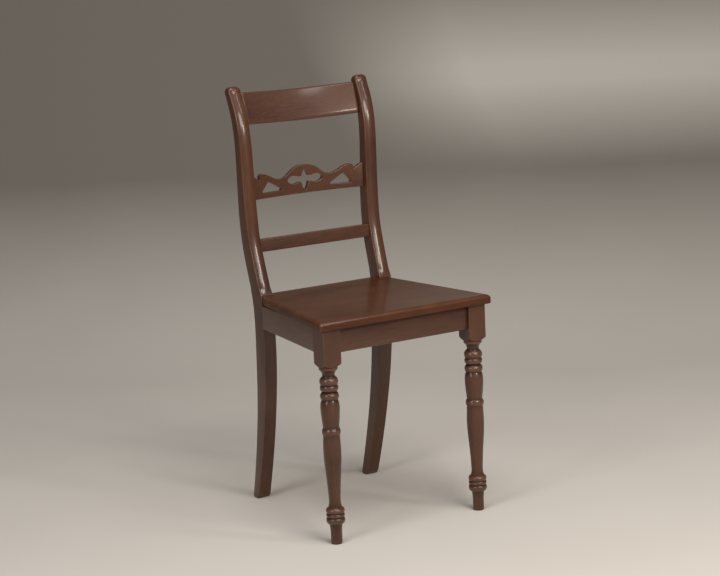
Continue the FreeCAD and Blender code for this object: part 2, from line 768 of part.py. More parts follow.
def pierced_outline(level):
    """The pierced rail's outline, seen from the front."""
    reach = post_inner(level) + SPARE

    def at(x, rise):
        return Vector(x, 0, level + rise)

    def top(side):
        ear = at(side * reach, EAR_HEIGHT)
        notch = at(side * NOTCH_PLACE, NOTCH_HEIGHT)
        lip = at(side * SCROLL_END[0], SCROLL_END[1])
        round_end = at(side * SCROLL_CURVE[0], SCROLL_CURVE[1])
        scroll = at(side * SCROLL_PLACE, SCROLL_HEIGHT)
        wave = [scroll]
        for place, share in DIP_TO_SCROLL:
            wave.append(at(side * place, DIP_HEIGHT + share * (SCROLL_HEIGHT - DIP_HEIGHT)))
        wave.append(at(side * DIP_PLACE, DIP_HEIGHT))
        for place, share in DIP_TO_CROWN:
            wave.append(at(side * place, DIP_HEIGHT + share * (CROWN_HEIGHT - DIP_HEIGHT)))
        wave.append(at(0, CROWN_HEIGHT))
        edges = [line(ear, notch), line(notch, lip), arc(lip, round_end, scroll)]
        return edges + [curve(wave).toShape()], ear

    right, right_ear = top(1)
    left, left_ear = top(-1)
    foot_right = at(reach, 0)
    foot_left = at(-reach, 0)
    sides = [line(foot_left, foot_right), line(foot_right, right_ear), line(foot_left, left_ear)]
    return face_of(right + left + sides)


def pierced_holes(level):
    """The four-armed opening in the middle and a triangle at each side."""
    through = Vector(0, WIDE, 0)

    def at(x, rise):
        return Vector(x, 0, level + rise)

    def through_edge(edge):
        return edge.BoundBox.YLength > WIDE / 2

    def slit_edge(side):
        sides = [
            at(side * half, SLIT_FOOT + share * (SLIT_TOP - SLIT_FOOT)) for share, half in SLIT_CURVE
        ]
        return curve([at(0, SLIT_FOOT)] + sides + [at(0, SLIT_TOP)]).toShape()

    slit = face_of([slit_edge(1), slit_edge(-1)])
    holes = [slit.extrude(through)]
    for side in (-1, 1):
        widths = (ARM_ROOT,) + ARM_CURVE
        upper = [at(side * place, ARM_LEVEL + half) for place, half in widths]
        lower = [at(side * place, ARM_LEVEL - half) for place, half in widths]
        tip = at(side * ARM_END, ARM_LEVEL)
        arm = face_of([
            curve(upper + [tip] + lower[::-1]).toShape(),
            line(lower[0], upper[0]),
        ])
        holes.append(arm.extrude(through))
        triangle = polygon([at(side * place, rise) for place, rise in TRIANGLE])
        hole = triangle.extrude(through)
        holes.append(rounded(hole, TRIANGLE_ROUNDING, through_edge))
    return holes


def pierced_rail_shape():
    front, level = pierced_place()
    low, high = level - SPARE, level + CROWN_HEIGHT + SPARE
    board = bowed_slab(front, PIERCED_THICKNESS, PIERCED_BOW, low, high)
    outline = pierced_outline(level).extrude(Vector(0, WIDE, 0))
    rail = board.common(outline).common(between_posts())
    return without(rail, pierced_holes(level))


def pierced_tenons(grow=0.0):
    front, level = pierced_place()
    depth = front + PIERCED_THICKNESS / 2
    return tenon_blocks(depth, level + EAR_HEIGHT / 2, PIERCED_TENON, grow)


def lower_rail_place():
    level = above(LOWER_RAIL_LEVEL) + LOWER_RAIL_HEIGHT / 2
    front = depth_at(FRONT_HIGH_CURVE, level) + LOWER_RAIL_INSET
    return front + LOWER_RAIL_THICKNESS / 2, level


def lower_rail_shape():
    depth, level = lower_rail_place()
    half = LOWER_RAIL_THICKNESS / 2
    low = level - LOWER_RAIL_HEIGHT / 2
    bar = box(-WIDE / 2, WIDE / 2, depth - half, depth + half, low, low + LOWER_RAIL_HEIGHT)
    bar = tilted(bar, depth, level, LOWER_RAIL_TILT).common(between_posts())
    long_edges = [edge for edge in bar.Edges if edge.Length > post_inner(level)]
    return bar.makeFillet(LOWER_RAIL_ROUNDING, long_edges)


def lower_rail_tenons(grow=0.0):
    depth, level = lower_rail_place()
    blocks = tenon_blocks(depth, level, LOWER_RAIL_TENON, grow)
    return tilted(blocks, depth, level, LOWER_RAIL_TILT)


# Putting the chair together


def build():
    """All pieces by name."""
    front_y = FRONT_RAIL_INSET - BLOCK_HALF + RAIL_THICKNESS / 2
    rear_y = FRAME_DEPTH + REAR_RAIL_INSET + RAIL_THICKNESS / 2
    front_places = cross_dowel_places(lambda z: BLOCK_INNER, front_y)
    rear_places = cross_dowel_places(post_inner, rear_y)
    side_places = side_dowel_places()
    side_holes = [dowel_hole(*place) for place in side_places]
    front_holes = [dowel_hole(*place) for place in front_places]
    rear_holes = [dowel_hole(*place) for place in rear_places]

    leg_room = box(
        BLOCK_INNER - CORNER_GAP, WIDE, -WIDE, BLOCK_HALF + CORNER_GAP, 0, SEAT_HEIGHT
    )
    nearest = post_inner(SEAT_UNDERSIDE - CORNER_HEIGHT) - CORNER_GAP
    post_room = box(nearest, WIDE, FRAME_DEPTH - CORNER_GAP, WIDE, 0, SEAT_HEIGHT)
    corners = {
        "front": (front_corner(), leg_room),
        "rear": (rear_corner(), post_room),
    }
    rail_screws = []
    rail_screw_holes = []
    seat_screws = []
    seat_screw_holes = []
    blocks = {}
    for name, (corner, room) in corners.items():
        rail_places = corner_screw_places(*corner)
        seat_place = seat_screw_place(*corner)
        holes = [screw_hole(*place, CORNER_SCREW_LENGTH) for place in rail_places]
        seat_hole = screw_hole(*seat_place, SEAT_SCREW_LENGTH)
        block = corner_block_shape(*corner, room)
        blocks[name] = without(block, holes + [seat_hole])
        rail_screws += [screw(*place, CORNER_SCREW_LENGTH) for place in rail_places]
        rail_screw_holes += holes
        seat_screws.append(screw(*seat_place, SEAT_SCREW_LENGTH))
        seat_screw_holes.append(seat_hole)
    rail_screw_holes += [mirrored(hole) for hole in rail_screw_holes]
    seat_screw_holes += [mirrored(hole) for hole in seat_screw_holes]

    post_cuts = side_holes + rear_holes
    post_cuts += [crest_tenons(FIT), pierced_tenons(FIT), lower_rail_tenons(FIT)]
    leg = without(leg_shape(), side_holes + front_holes)
    post = without(post_shape(), post_cuts)
    side_rail = without(side_rail_shape(), side_holes + rail_screw_holes)

    pieces = {
        "right_front_leg": leg,
        "left_front_leg": mirrored(leg),
        "right_rear_post": post,
        "left_rear_post": mirrored(post),
        "front_rail": without(front_rail_shape(), front_holes + rail_screw_holes),
        "rear_rail": without(rear_rail_shape(), rear_holes + rail_screw_holes),
        "right_side_rail": side_rail,
        "left_side_rail": mirrored(side_rail),
        "seat_panel": without(seat_panel_shape(), seat_screw_holes),
        "crest_rail": joined(crest_rail_shape(), *crest_tenons().Solids),
        "pierced_rail": joined(pierced_rail_shape(), *pierced_tenons().Solids),
        "lower_back_rail": joined(lower_rail_shape(), *lower_rail_tenons().Solids),
        "front_rail_dowels": Part.makeCompound([dowel(*place) for place in front_places]),
        "rear_rail_dowels": Part.makeCompound([dowel(*place) for place in rear_places]),
        "right_side_rail_dowels": Part.makeCompound([dowel(*place) for place in side_places]),
    }
    pieces["left_side_rail_dowels"] = mirrored(pieces["right_side_rail_dowels"])
    for name, block in blocks.items():
        pieces["right_" + name + "_corner_block"] = block
        pieces["left_" + name + "_corner_block"] = mirrored(block)
    rail_screws += [mirrored(one) for one in rail_screws]
    seat_screws += [mirrored(one) for one in seat_screws]
    pieces["corner_block_screws"] = Part.makeCompound(rail_screws)
    pieces["seat_screws"] = Part.makeCompound(seat_screws)
    return pieces


def save(pieces):
    """Centre the chair over its footprint and write one file per piece."""
    os.makedirs("parts", exist_ok=True)
    bounds = [shape.optimalBoundingBox() for shape in pieces.values()]
    front = min(bound.YMin for bound in bounds)
    back = max(bound.YMax for bound in bounds)
    for name, shape in pieces.items():
        shape.translate(Vector(0, -(front + back) / 2, 0))
        shape.exportStep("parts/" + name + ".step")
        print(name, len(shape.Solids), "solids, volume", round(shape.Volume), shape.isValid())


save(build())
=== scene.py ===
import math

import bmesh
import bpy
import numpy as np
from bpy.props import FloatProperty, FloatVectorProperty, IntProperty, PointerProperty
from bpy.types import Operator, Panel, PropertyGroup
from mathutils import Matrix, Vector


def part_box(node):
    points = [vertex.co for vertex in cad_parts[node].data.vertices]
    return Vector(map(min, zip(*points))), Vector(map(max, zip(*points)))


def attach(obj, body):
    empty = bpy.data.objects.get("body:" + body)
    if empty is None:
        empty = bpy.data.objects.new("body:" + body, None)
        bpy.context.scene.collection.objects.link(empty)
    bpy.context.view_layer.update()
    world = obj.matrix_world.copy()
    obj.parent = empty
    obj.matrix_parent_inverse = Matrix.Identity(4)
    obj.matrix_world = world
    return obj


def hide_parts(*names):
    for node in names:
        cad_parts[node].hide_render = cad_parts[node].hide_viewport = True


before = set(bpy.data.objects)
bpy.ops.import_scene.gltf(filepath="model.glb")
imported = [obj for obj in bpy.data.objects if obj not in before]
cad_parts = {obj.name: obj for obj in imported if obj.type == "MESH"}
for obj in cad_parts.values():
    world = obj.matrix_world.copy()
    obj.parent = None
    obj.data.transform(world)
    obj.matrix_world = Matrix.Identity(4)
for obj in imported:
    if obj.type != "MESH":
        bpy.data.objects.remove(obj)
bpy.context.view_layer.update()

bl_info = {
    "name": "Dining chair",
    "version": (1, 0, 0),
    "blender": (4, 5, 0),
    "location": "View3D > Sidebar > Chair",
    "description": "Builds a polished wooden dining chair over its CAD frame",
    "category": "Add Mesh",
}

# All lengths are in metres. X is the chair's width, the front faces -Y, Z rises from
# the floor.
MM = 0.001


# What the frame says


def cad_points(node):
    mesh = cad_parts[node].data
    points = np.zeros(len(mesh.vertices) * 3)
    mesh.vertices.foreach_get("co", points)
    return points.reshape(-1, 3)


def cad_edges(node):
    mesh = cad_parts[node].data
    ends = np.zeros(len(mesh.edges) * 2, int)
    mesh.edges.foreach_get("vertices", ends)
    return cad_points(node)[ends.reshape(-1, 2)]


POST_EDGES = cad_edges("right_rear_post")


def post_slice(z):
    """Lowest and highest X and Y of the right rear post at one height."""
    low = np.minimum(POST_EDGES[:, 0, 2], POST_EDGES[:, 1, 2])
    high = np.maximum(POST_EDGES[:, 0, 2], POST_EDGES[:, 1, 2])
    cut = POST_EDGES[(low <= z) & (high >= z) & (high - low > 1e-7)]
    share = (z - cut[:, 0, 2]) / (cut[:, 1, 2] - cut[:, 0, 2])
    points = cut[:, 0] + (cut[:, 1] - cut[:, 0]) * share[:, None]
    return points[:, 0].min(), points[:, 0].max(), points[:, 1].min(), points[:, 1].max()


class Spline:
    """A smooth line through points, as a function of one number."""

    def __init__(self, at, values):
        self.at = np.asarray(at, float)
        self.values = np.asarray(values, float)
        steps = np.diff(self.at)
        slopes = np.diff(self.values) / steps
        count = len(self.at)
        matrix = np.eye(count)
        right = np.zeros(count)
        for i in range(1, count - 1):
            matrix[i, i - 1] = steps[i - 1]
            matrix[i, i] = 2 * (steps[i - 1] + steps[i])
            matrix[i, i + 1] = steps[i]
            right[i] = 3 * (slopes[i] - slopes[i - 1])
        self.bend = np.linalg.solve(matrix, right)
        self.steps = steps
        self.slopes = slopes

    def __call__(self, x):
        i = int(np.clip(np.searchsorted(self.at, x) - 1, 0, len(self.steps) - 1))
        step, run = self.steps[i], x - self.at[i]
        first = self.slopes[i] - step * (2 * self.bend[i] + self.bend[i + 1]) / 3
        third = (self.bend[i + 1] - self.bend[i]) / (3 * step)
        return self.values[i] + run * (first + run * (self.bend[i] + run * third))


SEAT_LOW, SEAT_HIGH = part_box("seat_panel")
LEG_LOW, LEG_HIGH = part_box("right_front_leg")
POST_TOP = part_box("right_rear_post")[1].z
SEAT_TOP = SEAT_HIGH.z
SEAT_UNDERSIDE = SEAT_LOW.z
LEG_X = (LEG_LOW.x + LEG_HIGH.x) / 2
LEG_Y = (LEG_LOW.y + LEG_HIGH.y) / 2
BLOCK_HALF = (LEG_HIGH.x - LEG_LOW.x) / 2
FRONT_RAIL_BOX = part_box("front_rail")
REAR_RAIL_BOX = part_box("rear_rail")
RAIL_BOTTOM = FRONT_RAIL_BOX[0].z
HEAD_START = POST_TOP - 13.2 * MM
HEAD_ROUNDING = 9.0 * MM
SLICE_LOW, SLICE_HIGH = 0.1, 0.8
INNER_LOW, OUTER_LOW = post_slice(SLICE_LOW)[:2]
INNER_HIGH = post_slice(SLICE_HIGH)[0]
POST_LEAN = (INNER_HIGH - INNER_LOW) / (SLICE_HIGH - SLICE_LOW)
POST_WIDTH = OUTER_LOW - INNER_LOW


def post_inner(z):
    return INNER_LOW + POST_LEAN * (z - SLICE_LOW)


def post_outer(z):
    return post_inner(z) + POST_WIDTH


# Small tools for meshes


def arc_points(start, middle, end, count):
    """Points on the round arc through three flat points, both ends among them."""
    (ax, ay), (bx, by), (cx, cy) = start, middle, end
    d = 2 * (ax * (by - cy) + bx * (cy - ay) + cx * (ay - by))
    a2, b2, c2 = ax * ax + ay * ay, bx * bx + by * by, cx * cx + cy * cy
    ux = (a2 * (by - cy) + b2 * (cy - ay) + c2 * (ay - by)) / d
    uy = (a2 * (cx - bx) + b2 * (ax - cx) + c2 * (bx - ax)) / d
    radius = math.hypot(ax - ux, ay - uy)
    first = math.atan2(ay - uy, ax - ux)
    through = (math.atan2(by - uy, bx - ux) - first) % math.tau
    last = (math.atan2(cy - uy, cx - ux) - first) % math.tau
    if through > last:
        last -= math.tau
    return [
        (ux + radius * math.cos(first + last * i / count),
         uy + radius * math.sin(first + last * i / count))
        for i in range(count + 1)
    ]


def eased_loop(corners, steps=4):
    """A closed flat loop. Each corner is (a, b, radius, wear): a radius rounds it.

    A pair of radii is how far the rounding reaches before and after the corner.
    """
    points, wear = [], []
    count = len(corners)

    def reach(here, other, radius):
        way = np.array(other[:2]) - here
        most = 0.48 if other[2] else 0.98
        return way * min(radius / max(np.linalg.norm(way), 1e-9), most)

    for i, (a, b, radius, worn) in enumerate(corners):
        here = np.array((a, b))
        if not radius:
            points.append(here)
            wear.append(worn)
            continue
        first, second = radius if isinstance(radius, tuple) else (radius, radius)
        before = reach(here, corners[i - 1], first)
        after = reach(here, corners[(i + 1) % count], second)
        for k in range(steps + 1):
            t = k / steps
            points.append(here + before * (1 - t) ** 2 + after * t ** 2)
            wear.append(worn * math.sin(math.pi * t) ** 0.5)
    return np.array(points), np.array(wear)


def skin(loops):
    """Vertices and faces of a closed skin over loops that have equally many points."""
    count = len(loops[0])
    vertices = np.concatenate(loops)
    faces = []
    for row in range(len(loops) - 1):
        low, high = row * count, (row + 1) * count
        for i in range(count):
            j = (i + 1) % count
            faces.append((low + i, low + j, high + j, high + i))
    last = (len(loops) - 1) * count
    faces.append(tuple(reversed(range(count))))
    faces.append(tuple(range(last, last + count)))
    return vertices, faces


def make_piece(name, vertices, faces, wear=None, smooth=35.0):
    """A mesh object with outward faces, smooth shading and its worn edges marked."""
    mesh = bpy.data.meshes.new(name)
    mesh.from_pydata([tuple(v) for v in vertices], [], faces)
    if wear is not None:
        mark = mesh.attributes.new("wear", "FLOAT", "POINT")
        mark.data.foreach_set("value", np.asarray(wear, np.float32))
    return finish_mesh(name, mesh, smooth)


def add_object(name, data):
    thing = bpy.data.objects.new(name, data)
    bpy.context.scene.collection.objects.link(thing)
    return thing


def finish_mesh(name, mesh, smooth=35.0):
    shape = bmesh.new()
    shape.from_mesh(mesh)
    bmesh.ops.remove_doubles(shape, verts=shape.verts, dist=1e-6)
    bmesh.ops.recalc_face_normals(shape, faces=shape.faces)
    shape.to_mesh(mesh)
    shape.free()
    mesh.shade_smooth()
    mesh.set_sharp_from_angle(angle=math.radians(smooth))
    return add_object(name, mesh)


def mirrored_copy(piece, name):
    """The same piece on the other side of the chair."""
    mesh = piece.data.copy()
    mesh.name = name
    mesh.transform(Matrix.Scale(-1, 4, (1, 0, 0)))
    shape = bmesh.new()
    shape.from_mesh(mesh)
    bmesh.ops.recalc_face_normals(shape, faces=shape.faces)
    shape.to_mesh(mesh)
    shape.free()
    return add_object(name, mesh)


def place(piece, material, nodes):
    """Give a finished piece its material and put it on the frame."""
    piece.data.materials.clear()
    piece.data.materials.append(material)
    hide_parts(*nodes)
    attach(piece, "root")


# Shader maths


class Tone:
    """A shader socket that adds Math nodes when it takes part in a sum or product."""

    def __init__(self, tree, socket):
        self.tree = tree
        self.socket = socket

    def node(self, kind, settings=None, inputs=None, output=0):
        """Any node: its type, its settings, then the values or links of its sockets."""
        node = self.tree.nodes.new(kind)
        for key, value in (settings or {}).items():
            if key == "stops":
                ramp = node.color_ramp.elements
                while len(ramp) < len(value):
                    ramp.new(0.5)
                for element, (position, colour) in zip(ramp, value):
                    element.position = position
                    element.color = (*colour, 1.0)
            else:
                setattr(node, key, value)
        for key, value in (inputs or {}).items():
            if isinstance(value, Tone):
                self.tree.links.new(value.socket, node.inputs[key])
            else:
                node.inputs[key].default_value = value
        return Tone(self.tree, node.outputs[output])

    def maths(self, operation, *values):
        settings = {"operation": operation}
        return self.node("ShaderNodeMath", settings, dict(enumerate(values)))

    def __add__(self, other):
        return self.maths("ADD", self, other)

    def __sub__(self, other):
        return self.maths("SUBTRACT", self, other)

    def __rsub__(self, other):
        return self.maths("SUBTRACT", other, self)

    def __mul__(self, other):
        return self.maths("MULTIPLY", self, other)

    __radd__ = __add__
    __rmul__ = __mul__

    def between(self, low, high):
        """0 at low and 1 at high, held at both ends."""
        inputs = {"Value": self, "From Min": low, "From Max": high}
        return self.node("ShaderNodeMapRange", {"clamp": True}, inputs)

    def mix(self, first, second):
        """A colour between two, by this socket."""
        settings = {"data_type": "RGBA"}
        return self.node("ShaderNodeMix", settings, {0: self, 6: first, 7: second}, 2)


def new_material(name):
    """An empty material, its shader and a Tone to start from."""
    material = bpy.data.materials.new(name)
    material.use_nodes = True
    tree = material.node_tree
    tree.nodes.clear()
    output = tree.nodes.new("ShaderNodeOutputMaterial")
    shader = tree.nodes.new("ShaderNodeBsdfPrincipled")
    tree.links.new(shader.outputs[0], output.inputs["Surface"])
    return material, shader, Tone(tree, None)


def connect(shader, name, tone):
    tone.tree.links.new(tone.socket, shader.inputs[name])


def along_grain(start, turn, seed):
    """Object coordinates turned so that the grain runs along Z, moved for each board."""
    spot = start.node("ShaderNodeTexCoord", output=3)
    settings = {"vector_type": "POINT"}
    shift = (0.37 * seed, 0.91 * seed, 0.53 * seed)
    turned = {"Vector": spot, "Rotation": turn, "Location": shift}
    return start.node("ShaderNodeMapping", settings, turned)


def stretched(place_on_board, scale):
    inputs = {"Vector": place_on_board, "Scale": scale}
    return place_on_board.node("ShaderNodeMapping", None, inputs)


def noise(place_on_board, scale, size, detail=4.0, roughness=0.55):
    inputs = {
        "Vector": stretched(place_on_board, scale),
        "Scale": size,
        "Detail": detail,
        "Roughness": roughness,
    }
    return place_on_board.node("ShaderNodeTexNoise", None, inputs)


def polished_wood(name, turn=(0.0, 0.0, 0.0), seed=1.0, gloss=1.0):
    """Stained and polished hardwood: quiet grain, fine pores, rubbed edges."""
    look = bpy.context.scene.chair_finish
    material, shader, start = new_material(name)
    board = along_grain(start, turn, seed)
    drift = noise(board, (1.0, 1.0, 0.10), 16.0, 4.0, 0.6)
    bands = board.node("ShaderNodeTexWave", {
        "wave_type": "BANDS", "bands_direction": "DIAGONAL", "wave_profile": "SIN",
    }, {
        "Vector": stretched(board, (1.0, 1.0, 0.05)),
        "Scale": 85.0,
        "Distortion": 12.0,
        "Detail": 4.0,
        "Detail Scale": 2.2,
        "Detail Roughness": 0.65,
    }, 1)
    streaks = noise(board, (1.0, 1.0, 0.045), 420.0, 6.0, 0.65)
    flecks = noise(board, (1.0, 1.0, 0.09), 900.0, 3.0, 0.6)
    pores = noise(board, (1.0, 1.0, 0.03), 1700.0, 2.0, 0.5).between(0.57, 0.72)
    clouds = noise(board, (1.0, 1.0, 0.5), 15.0, 4.0, 0.6)
    figure = (bands * 0.08 + streaks * 0.34 + drift * 0.30 + flecks * 0.28).between(0.32, 0.68)
    colour = figure.mix((*look.dark_wood, 1.0), (*look.light_wood, 1.0))
    warm = clouds.between(0.36, 0.70) * 0.5
    colour = warm.mix(colour, (*look.warm_wood, 1.0))
    colour = (pores * 0.28).mix(colour, (*look.pore_colour, 1.0))
    wear = start.node("ShaderNodeAttribute", {"attribute_name": "wear"}, output=2)
    patchy = noise(board, (1.0, 1.0, 0.5), 46.0, 3.0).between(0.35, 0.65)
    rubbed = wear.between(0.05, 1.0) * (0.35 + patchy * 0.65)
    colour = (rubbed * look.edge_wear).mix(colour, (*look.rubbed_wood, 1.0))
    grime = (wear * -1.0).between(0.05, 1.0)
    colour = (grime * 0.75).mix(colour, (*look.pore_colour, 1.0))
    handling = noise(board, (1.0, 1.0, 0.8), 17.0, 5.0, 0.65)
    rough = look.roughness + (handling - 0.5) * 0.12 + pores * 0.10 + grime * 0.25
    height = streaks * 0.15 - pores * 0.6
    bump = start.node("ShaderNodeBump", None, {
        "Strength": 0.08, "Distance": 0.0002, "Height": height,
    })
    connect(shader, "Base Color", colour)
    connect(shader, "Roughness", rough)
    connect(shader, "Normal", bump)
    shader.inputs["Specular IOR Level"].default_value = 0.25 * gloss
    connect(shader, "Coat Weight", look.polish * (gloss + (1.0 - gloss) * wear.between(0.0, 0.25)))
    shader.inputs["Coat Roughness"].default_value = look.polish_roughness
    shader.inputs["Coat IOR"].default_value = 1.45
    return material


def bare_wood(name, light, dark, turn=(0.0, 0.0, 0.0), seed=1.0):
    """Unfinished softwood or beech, for what is hidden under the seat."""
    material, shader, start = new_material(name)
    board = along_grain(start, turn, seed)
    streaks = noise(board, (1.0, 1.0, 0.05), 180.0, 5.0, 0.6)
    drift = noise(board, (1.0, 1.0, 0.2), 14.0, 3.0)
    saw = noise(board, (0.2, 1.0, 1.0), 420.0, 2.0)
    tone = (streaks * 0.6 + drift * 0.4).between(0.35, 0.68)
    dust = noise(board, (1.0, 1.0, 1.0), 30.0, 4.0).between(0.45, 0.8)
    colour = tone.mix((*dark, 1.0), (*light, 1.0))
    colour = (dust * 0.25).mix(colour, (0.16, 0.12, 0.09, 1.0))
    bump = start.node("ShaderNodeBump", None, {
        "Strength": 0.35, "Distance": 0.0005, "Height": streaks + saw * 0.6,
    })
    connect(shader, "Base Color", colour)
    connect(shader, "Roughness", 0.62 + streaks * 0.2)
    connect(shader, "Normal", bump)
    return material


def screw_steel():
    """Plain steel screws, a little dull and stained."""
    material, shader, start = new_material("screw_steel")
    spot = start.node("ShaderNodeTexCoord", output=3)
    spots = noise(spot, (1.0, 1.0, 1.0), 900.0, 4.0)
    rust = noise(spot, (1.0, 1.0, 1.0), 220.0, 5.0, 0.7).between(0.56, 0.72)
    colour = spots.between(0.3, 0.7).mix((0.30, 0.29, 0.28, 1.0), (0.52, 0.51, 0.49, 1.0))
    connect(shader, "Base Color", (rust * 0.6).mix(colour, (0.16, 0.075, 0.035, 1.0)))
    connect(shader, "Metallic", 1.0 - rust * 0.7)
    connect(shader, "Roughness", 0.34 + spots * 0.2 + rust * 0.25)
    return material


# Turns that bring a board's grain from X or Y to Z
GRAIN_UP = (0.0, 0.0, 0.0)
GRAIN_ACROSS = (0.0, -math.pi / 2, 0.0)
GRAIN_BACK = (math.pi / 2, 0.0, 0.0)


# Front legs


# The turned leg's outline, in millimetres. An arc is the radius and rise of its middle and
# of its end, and its steps; a curve is a row of radii and rises.
FOOT_HEIGHT = 41.0
FOOT_START = (9.6, 0.0)
FOOT_EDGE = (((11.0, 0.6), (11.6, 2.0), 6),)
FOOT_FLARE = ((11.6, 2.0), (11.6, 20.5), (12.3, 34.85), (13.2, 41.0))
FOOT_RINGS = (
    ((19.2, 7.5), (16.8, 14.5), 14),
    ((18.8, 18.8), (16.8, 23.0), 10),
    ((19.0, 27.5), (14.1, 35.0), 14),
)
FOOT_RINGS_HEIGHT = 35.0
# Rises of the lower vase are shares of its length, which follows from the leg's height
LOWER_VASE = (
    (14.1, 0.0), (12.4, 0.05), (12.2, 0.14), (13.1, 0.26),
    (15.3, 0.46), (17.5, 0.65), (18.1, 0.8), (16.8, 1.0),
)
MIDDLE_RING = (((19.0, 7.0), (16.1, 15.0), 14),)
MIDDLE_RING_HEIGHT = 15.0
UPPER_VASE = ((16.1, 0.0), (17.2, 10.4), (18.7, 25.9), (19.4, 40.8), (18.2, 51.8), (16.2, 57.5))
UPPER_VASE_HEIGHT = 57.5
BEADS = (
    ((19.0, 7.0), (14.0, 16.3), 14),
    ((18.6, 23.8), (16.4, 30.0), 14),
    ((18.9, 38.0), (13.2, 47.0), 14),
)
BEADS_HEIGHT = 47.0
NECK = (((12.4, 3.5), (13.3, 7.5), 8), ((15.2, 11.2), (18.6, 14.6), 8))
NECK_HEIGHT = 21.0
LIP_HEIGHT = 5.6
LIP_START = (18.6, -0.4)
LIP = (((18.9, -0.1), (19.0, 0.0), 3),)
FLANGE = ((19.0, 0.0), (19.0, 3.6), (19.0, 5.0))
FLANGE_TOP = ((18.8, 5.5), (18.2, 5.6))


def turning():
    """The turned leg's outline from foot to flange: radius and height."""
    sizes = bpy.context.scene.chair_sizes
    shoulder = sizes.block_foot - sizes.block_run_in
    foot_top = FOOT_HEIGHT * MM
    ankle = foot_top + FOOT_RINGS_HEIGHT * MM
    neck = shoulder - NECK_HEIGHT * MM
    lip = shoulder - LIP_HEIGHT * MM
    beads = neck - BEADS_HEIGHT * MM
    upper_vase = beads - UPPER_VASE_HEIGHT * MM
    middle_ring = upper_vase - MIDDLE_RING_HEIGHT * MM
    outline = []

    def arcs(start, base, steps):
        for middle, end, count in steps:
            points = [(radius * MM, base + rise * MM) for radius, rise in (start, middle, end)]
            outline.extend(arc_points(*points, count)[:-1])
            start = end

    def curve(base, unit, points, count):
        heights = [base + rise * unit for _, rise in points]
        line = Spline(heights, [radius * MM for radius, _ in points])
        for i in range(count):
            z = heights[0] + (heights[-1] - heights[0]) * i / count
            outline.append((line(z), z))

    arcs(FOOT_START, 0.0, FOOT_EDGE)
    curve(0.0, MM, FOOT_FLARE, 16)
    arcs((FOOT_FLARE[-1][0], 0.0), foot_top, FOOT_RINGS)
    curve(ankle, middle_ring - ankle, LOWER_VASE, 70)
    arcs((LOWER_VASE[-1][0], 0.0), middle_ring, MIDDLE_RING)
    curve(upper_vase, MM, UPPER_VASE, 40)
    arcs((UPPER_VASE[-1][0], 0.0), beads, BEADS)
    arcs((BEADS[-1][1][0], 0.0), neck, NECK)
    arcs(LIP_START, lip, LIP)
    curve(lip, MM, FLANGE, 4)
    outline += [(radius * MM, lip + rise * MM) for radius, rise in FLANGE_TOP]
    return np.array(outline)


def turning_wear(outline):
    """Above 0 on the crests of the beads, below 0 down in the grooves."""
    reach = 5
    count = len(outline)
    wear = np.zeros(count)
    for i in range(count):
        low, high = max(i - reach, 0), min(i + reach, count - 1)
        chord = (outline[low] + outline[high]) / 2
        span = np.linalg.norm(outline[high] - outline[low])
        wear[i] = (outline[i, 0] - chord[0]) / max(span, 1e-6)
    return np.clip(wear * 5.0, -1.0, 0.7)


def new_tree(name, **inputs):
    """A geometry node tree with geometry in and out and the named inputs."""
    tree = bpy.data.node_groups.new(name, "GeometryNodeTree")
    for label, kind in {"Geometry": "Geometry", **inputs}.items():
        tree.interface.new_socket(label, in_out="INPUT", socket_type="NodeSocket" + kind)
    tree.interface.new_socket("Geometry", in_out="OUTPUT", socket_type="NodeSocketGeometry")
    return tree


def sweep_tree():
    """Geometry nodes that turn a line of points with radii into a round closed shape."""
    tree = new_tree("turned_shape", Sides="Int", Finish="Material")
    nodes, link = tree.nodes, tree.links.new
    given = nodes.new("NodeGroupInput")
    radius = nodes.new("GeometryNodeInputNamedAttribute")
    radius.data_type = "FLOAT"
    radius.inputs["Name"].default_value = "turned_radius"
    to_curve = nodes.new("GeometryNodeMeshToCurve")
    ring = nodes.new("GeometryNodeCurvePrimitiveCircle")
    ring.inputs["Radius"].default_value = 1.0
    sized = nodes.new("GeometryNodeSetCurveRadius")
    sweep = nodes.new("GeometryNodeCurveToMesh")
    sweep.inputs["Fill Caps"].default_value = True
    finish = nodes.new("GeometryNodeSetMaterial")
    real = nodes.new("GeometryNodeRealizeInstances")
    result = nodes.new("NodeGroupOutput")
    link(given.outputs["Geometry"], to_curve.inputs["Mesh"])
    link(given.outputs["Sides"], ring.inputs["Resolution"])
    link(to_curve.outputs["Curve"], sized.inputs["Curve"])
    link(radius.outputs["Attribute"], sized.inputs["Radius"])
    link(sized.outputs["Curve"], sweep.inputs["Curve"])
    link(ring.outputs["Curve"], sweep.inputs["Profile Curve"])
    if "Scale" in sweep.inputs:
        link(radius.outputs["Attribute"], sweep.inputs["Scale"])
    link(sweep.outputs["Mesh"], real.inputs["Geometry"])
    link(real.outputs["Geometry"], finish.inputs["Geometry"])
    link(given.outputs["Finish"], finish.inputs["Material"])
    link(finish.outputs["Geometry"], result.inputs["Geometry"])
    return tree


def through_nodes(piece, tree, values):
    """Run a node tree on a piece and return the plain mesh that it makes."""
    modifier = piece.modifiers.new("shape", "NODES")
    modifier.node_group = tree
    sockets = {item.name: item.identifier for item in tree.interface.items_tree
               if item.in_out == "INPUT"}
    for name, value in values.items():
        modifier[sockets[name]] = value
    graph = bpy.context.evaluated_depsgraph_get()
    mesh = bpy.data.meshes.new_from_object(piece.evaluated_get(graph))
    piece.modifiers.clear()
    return mesh


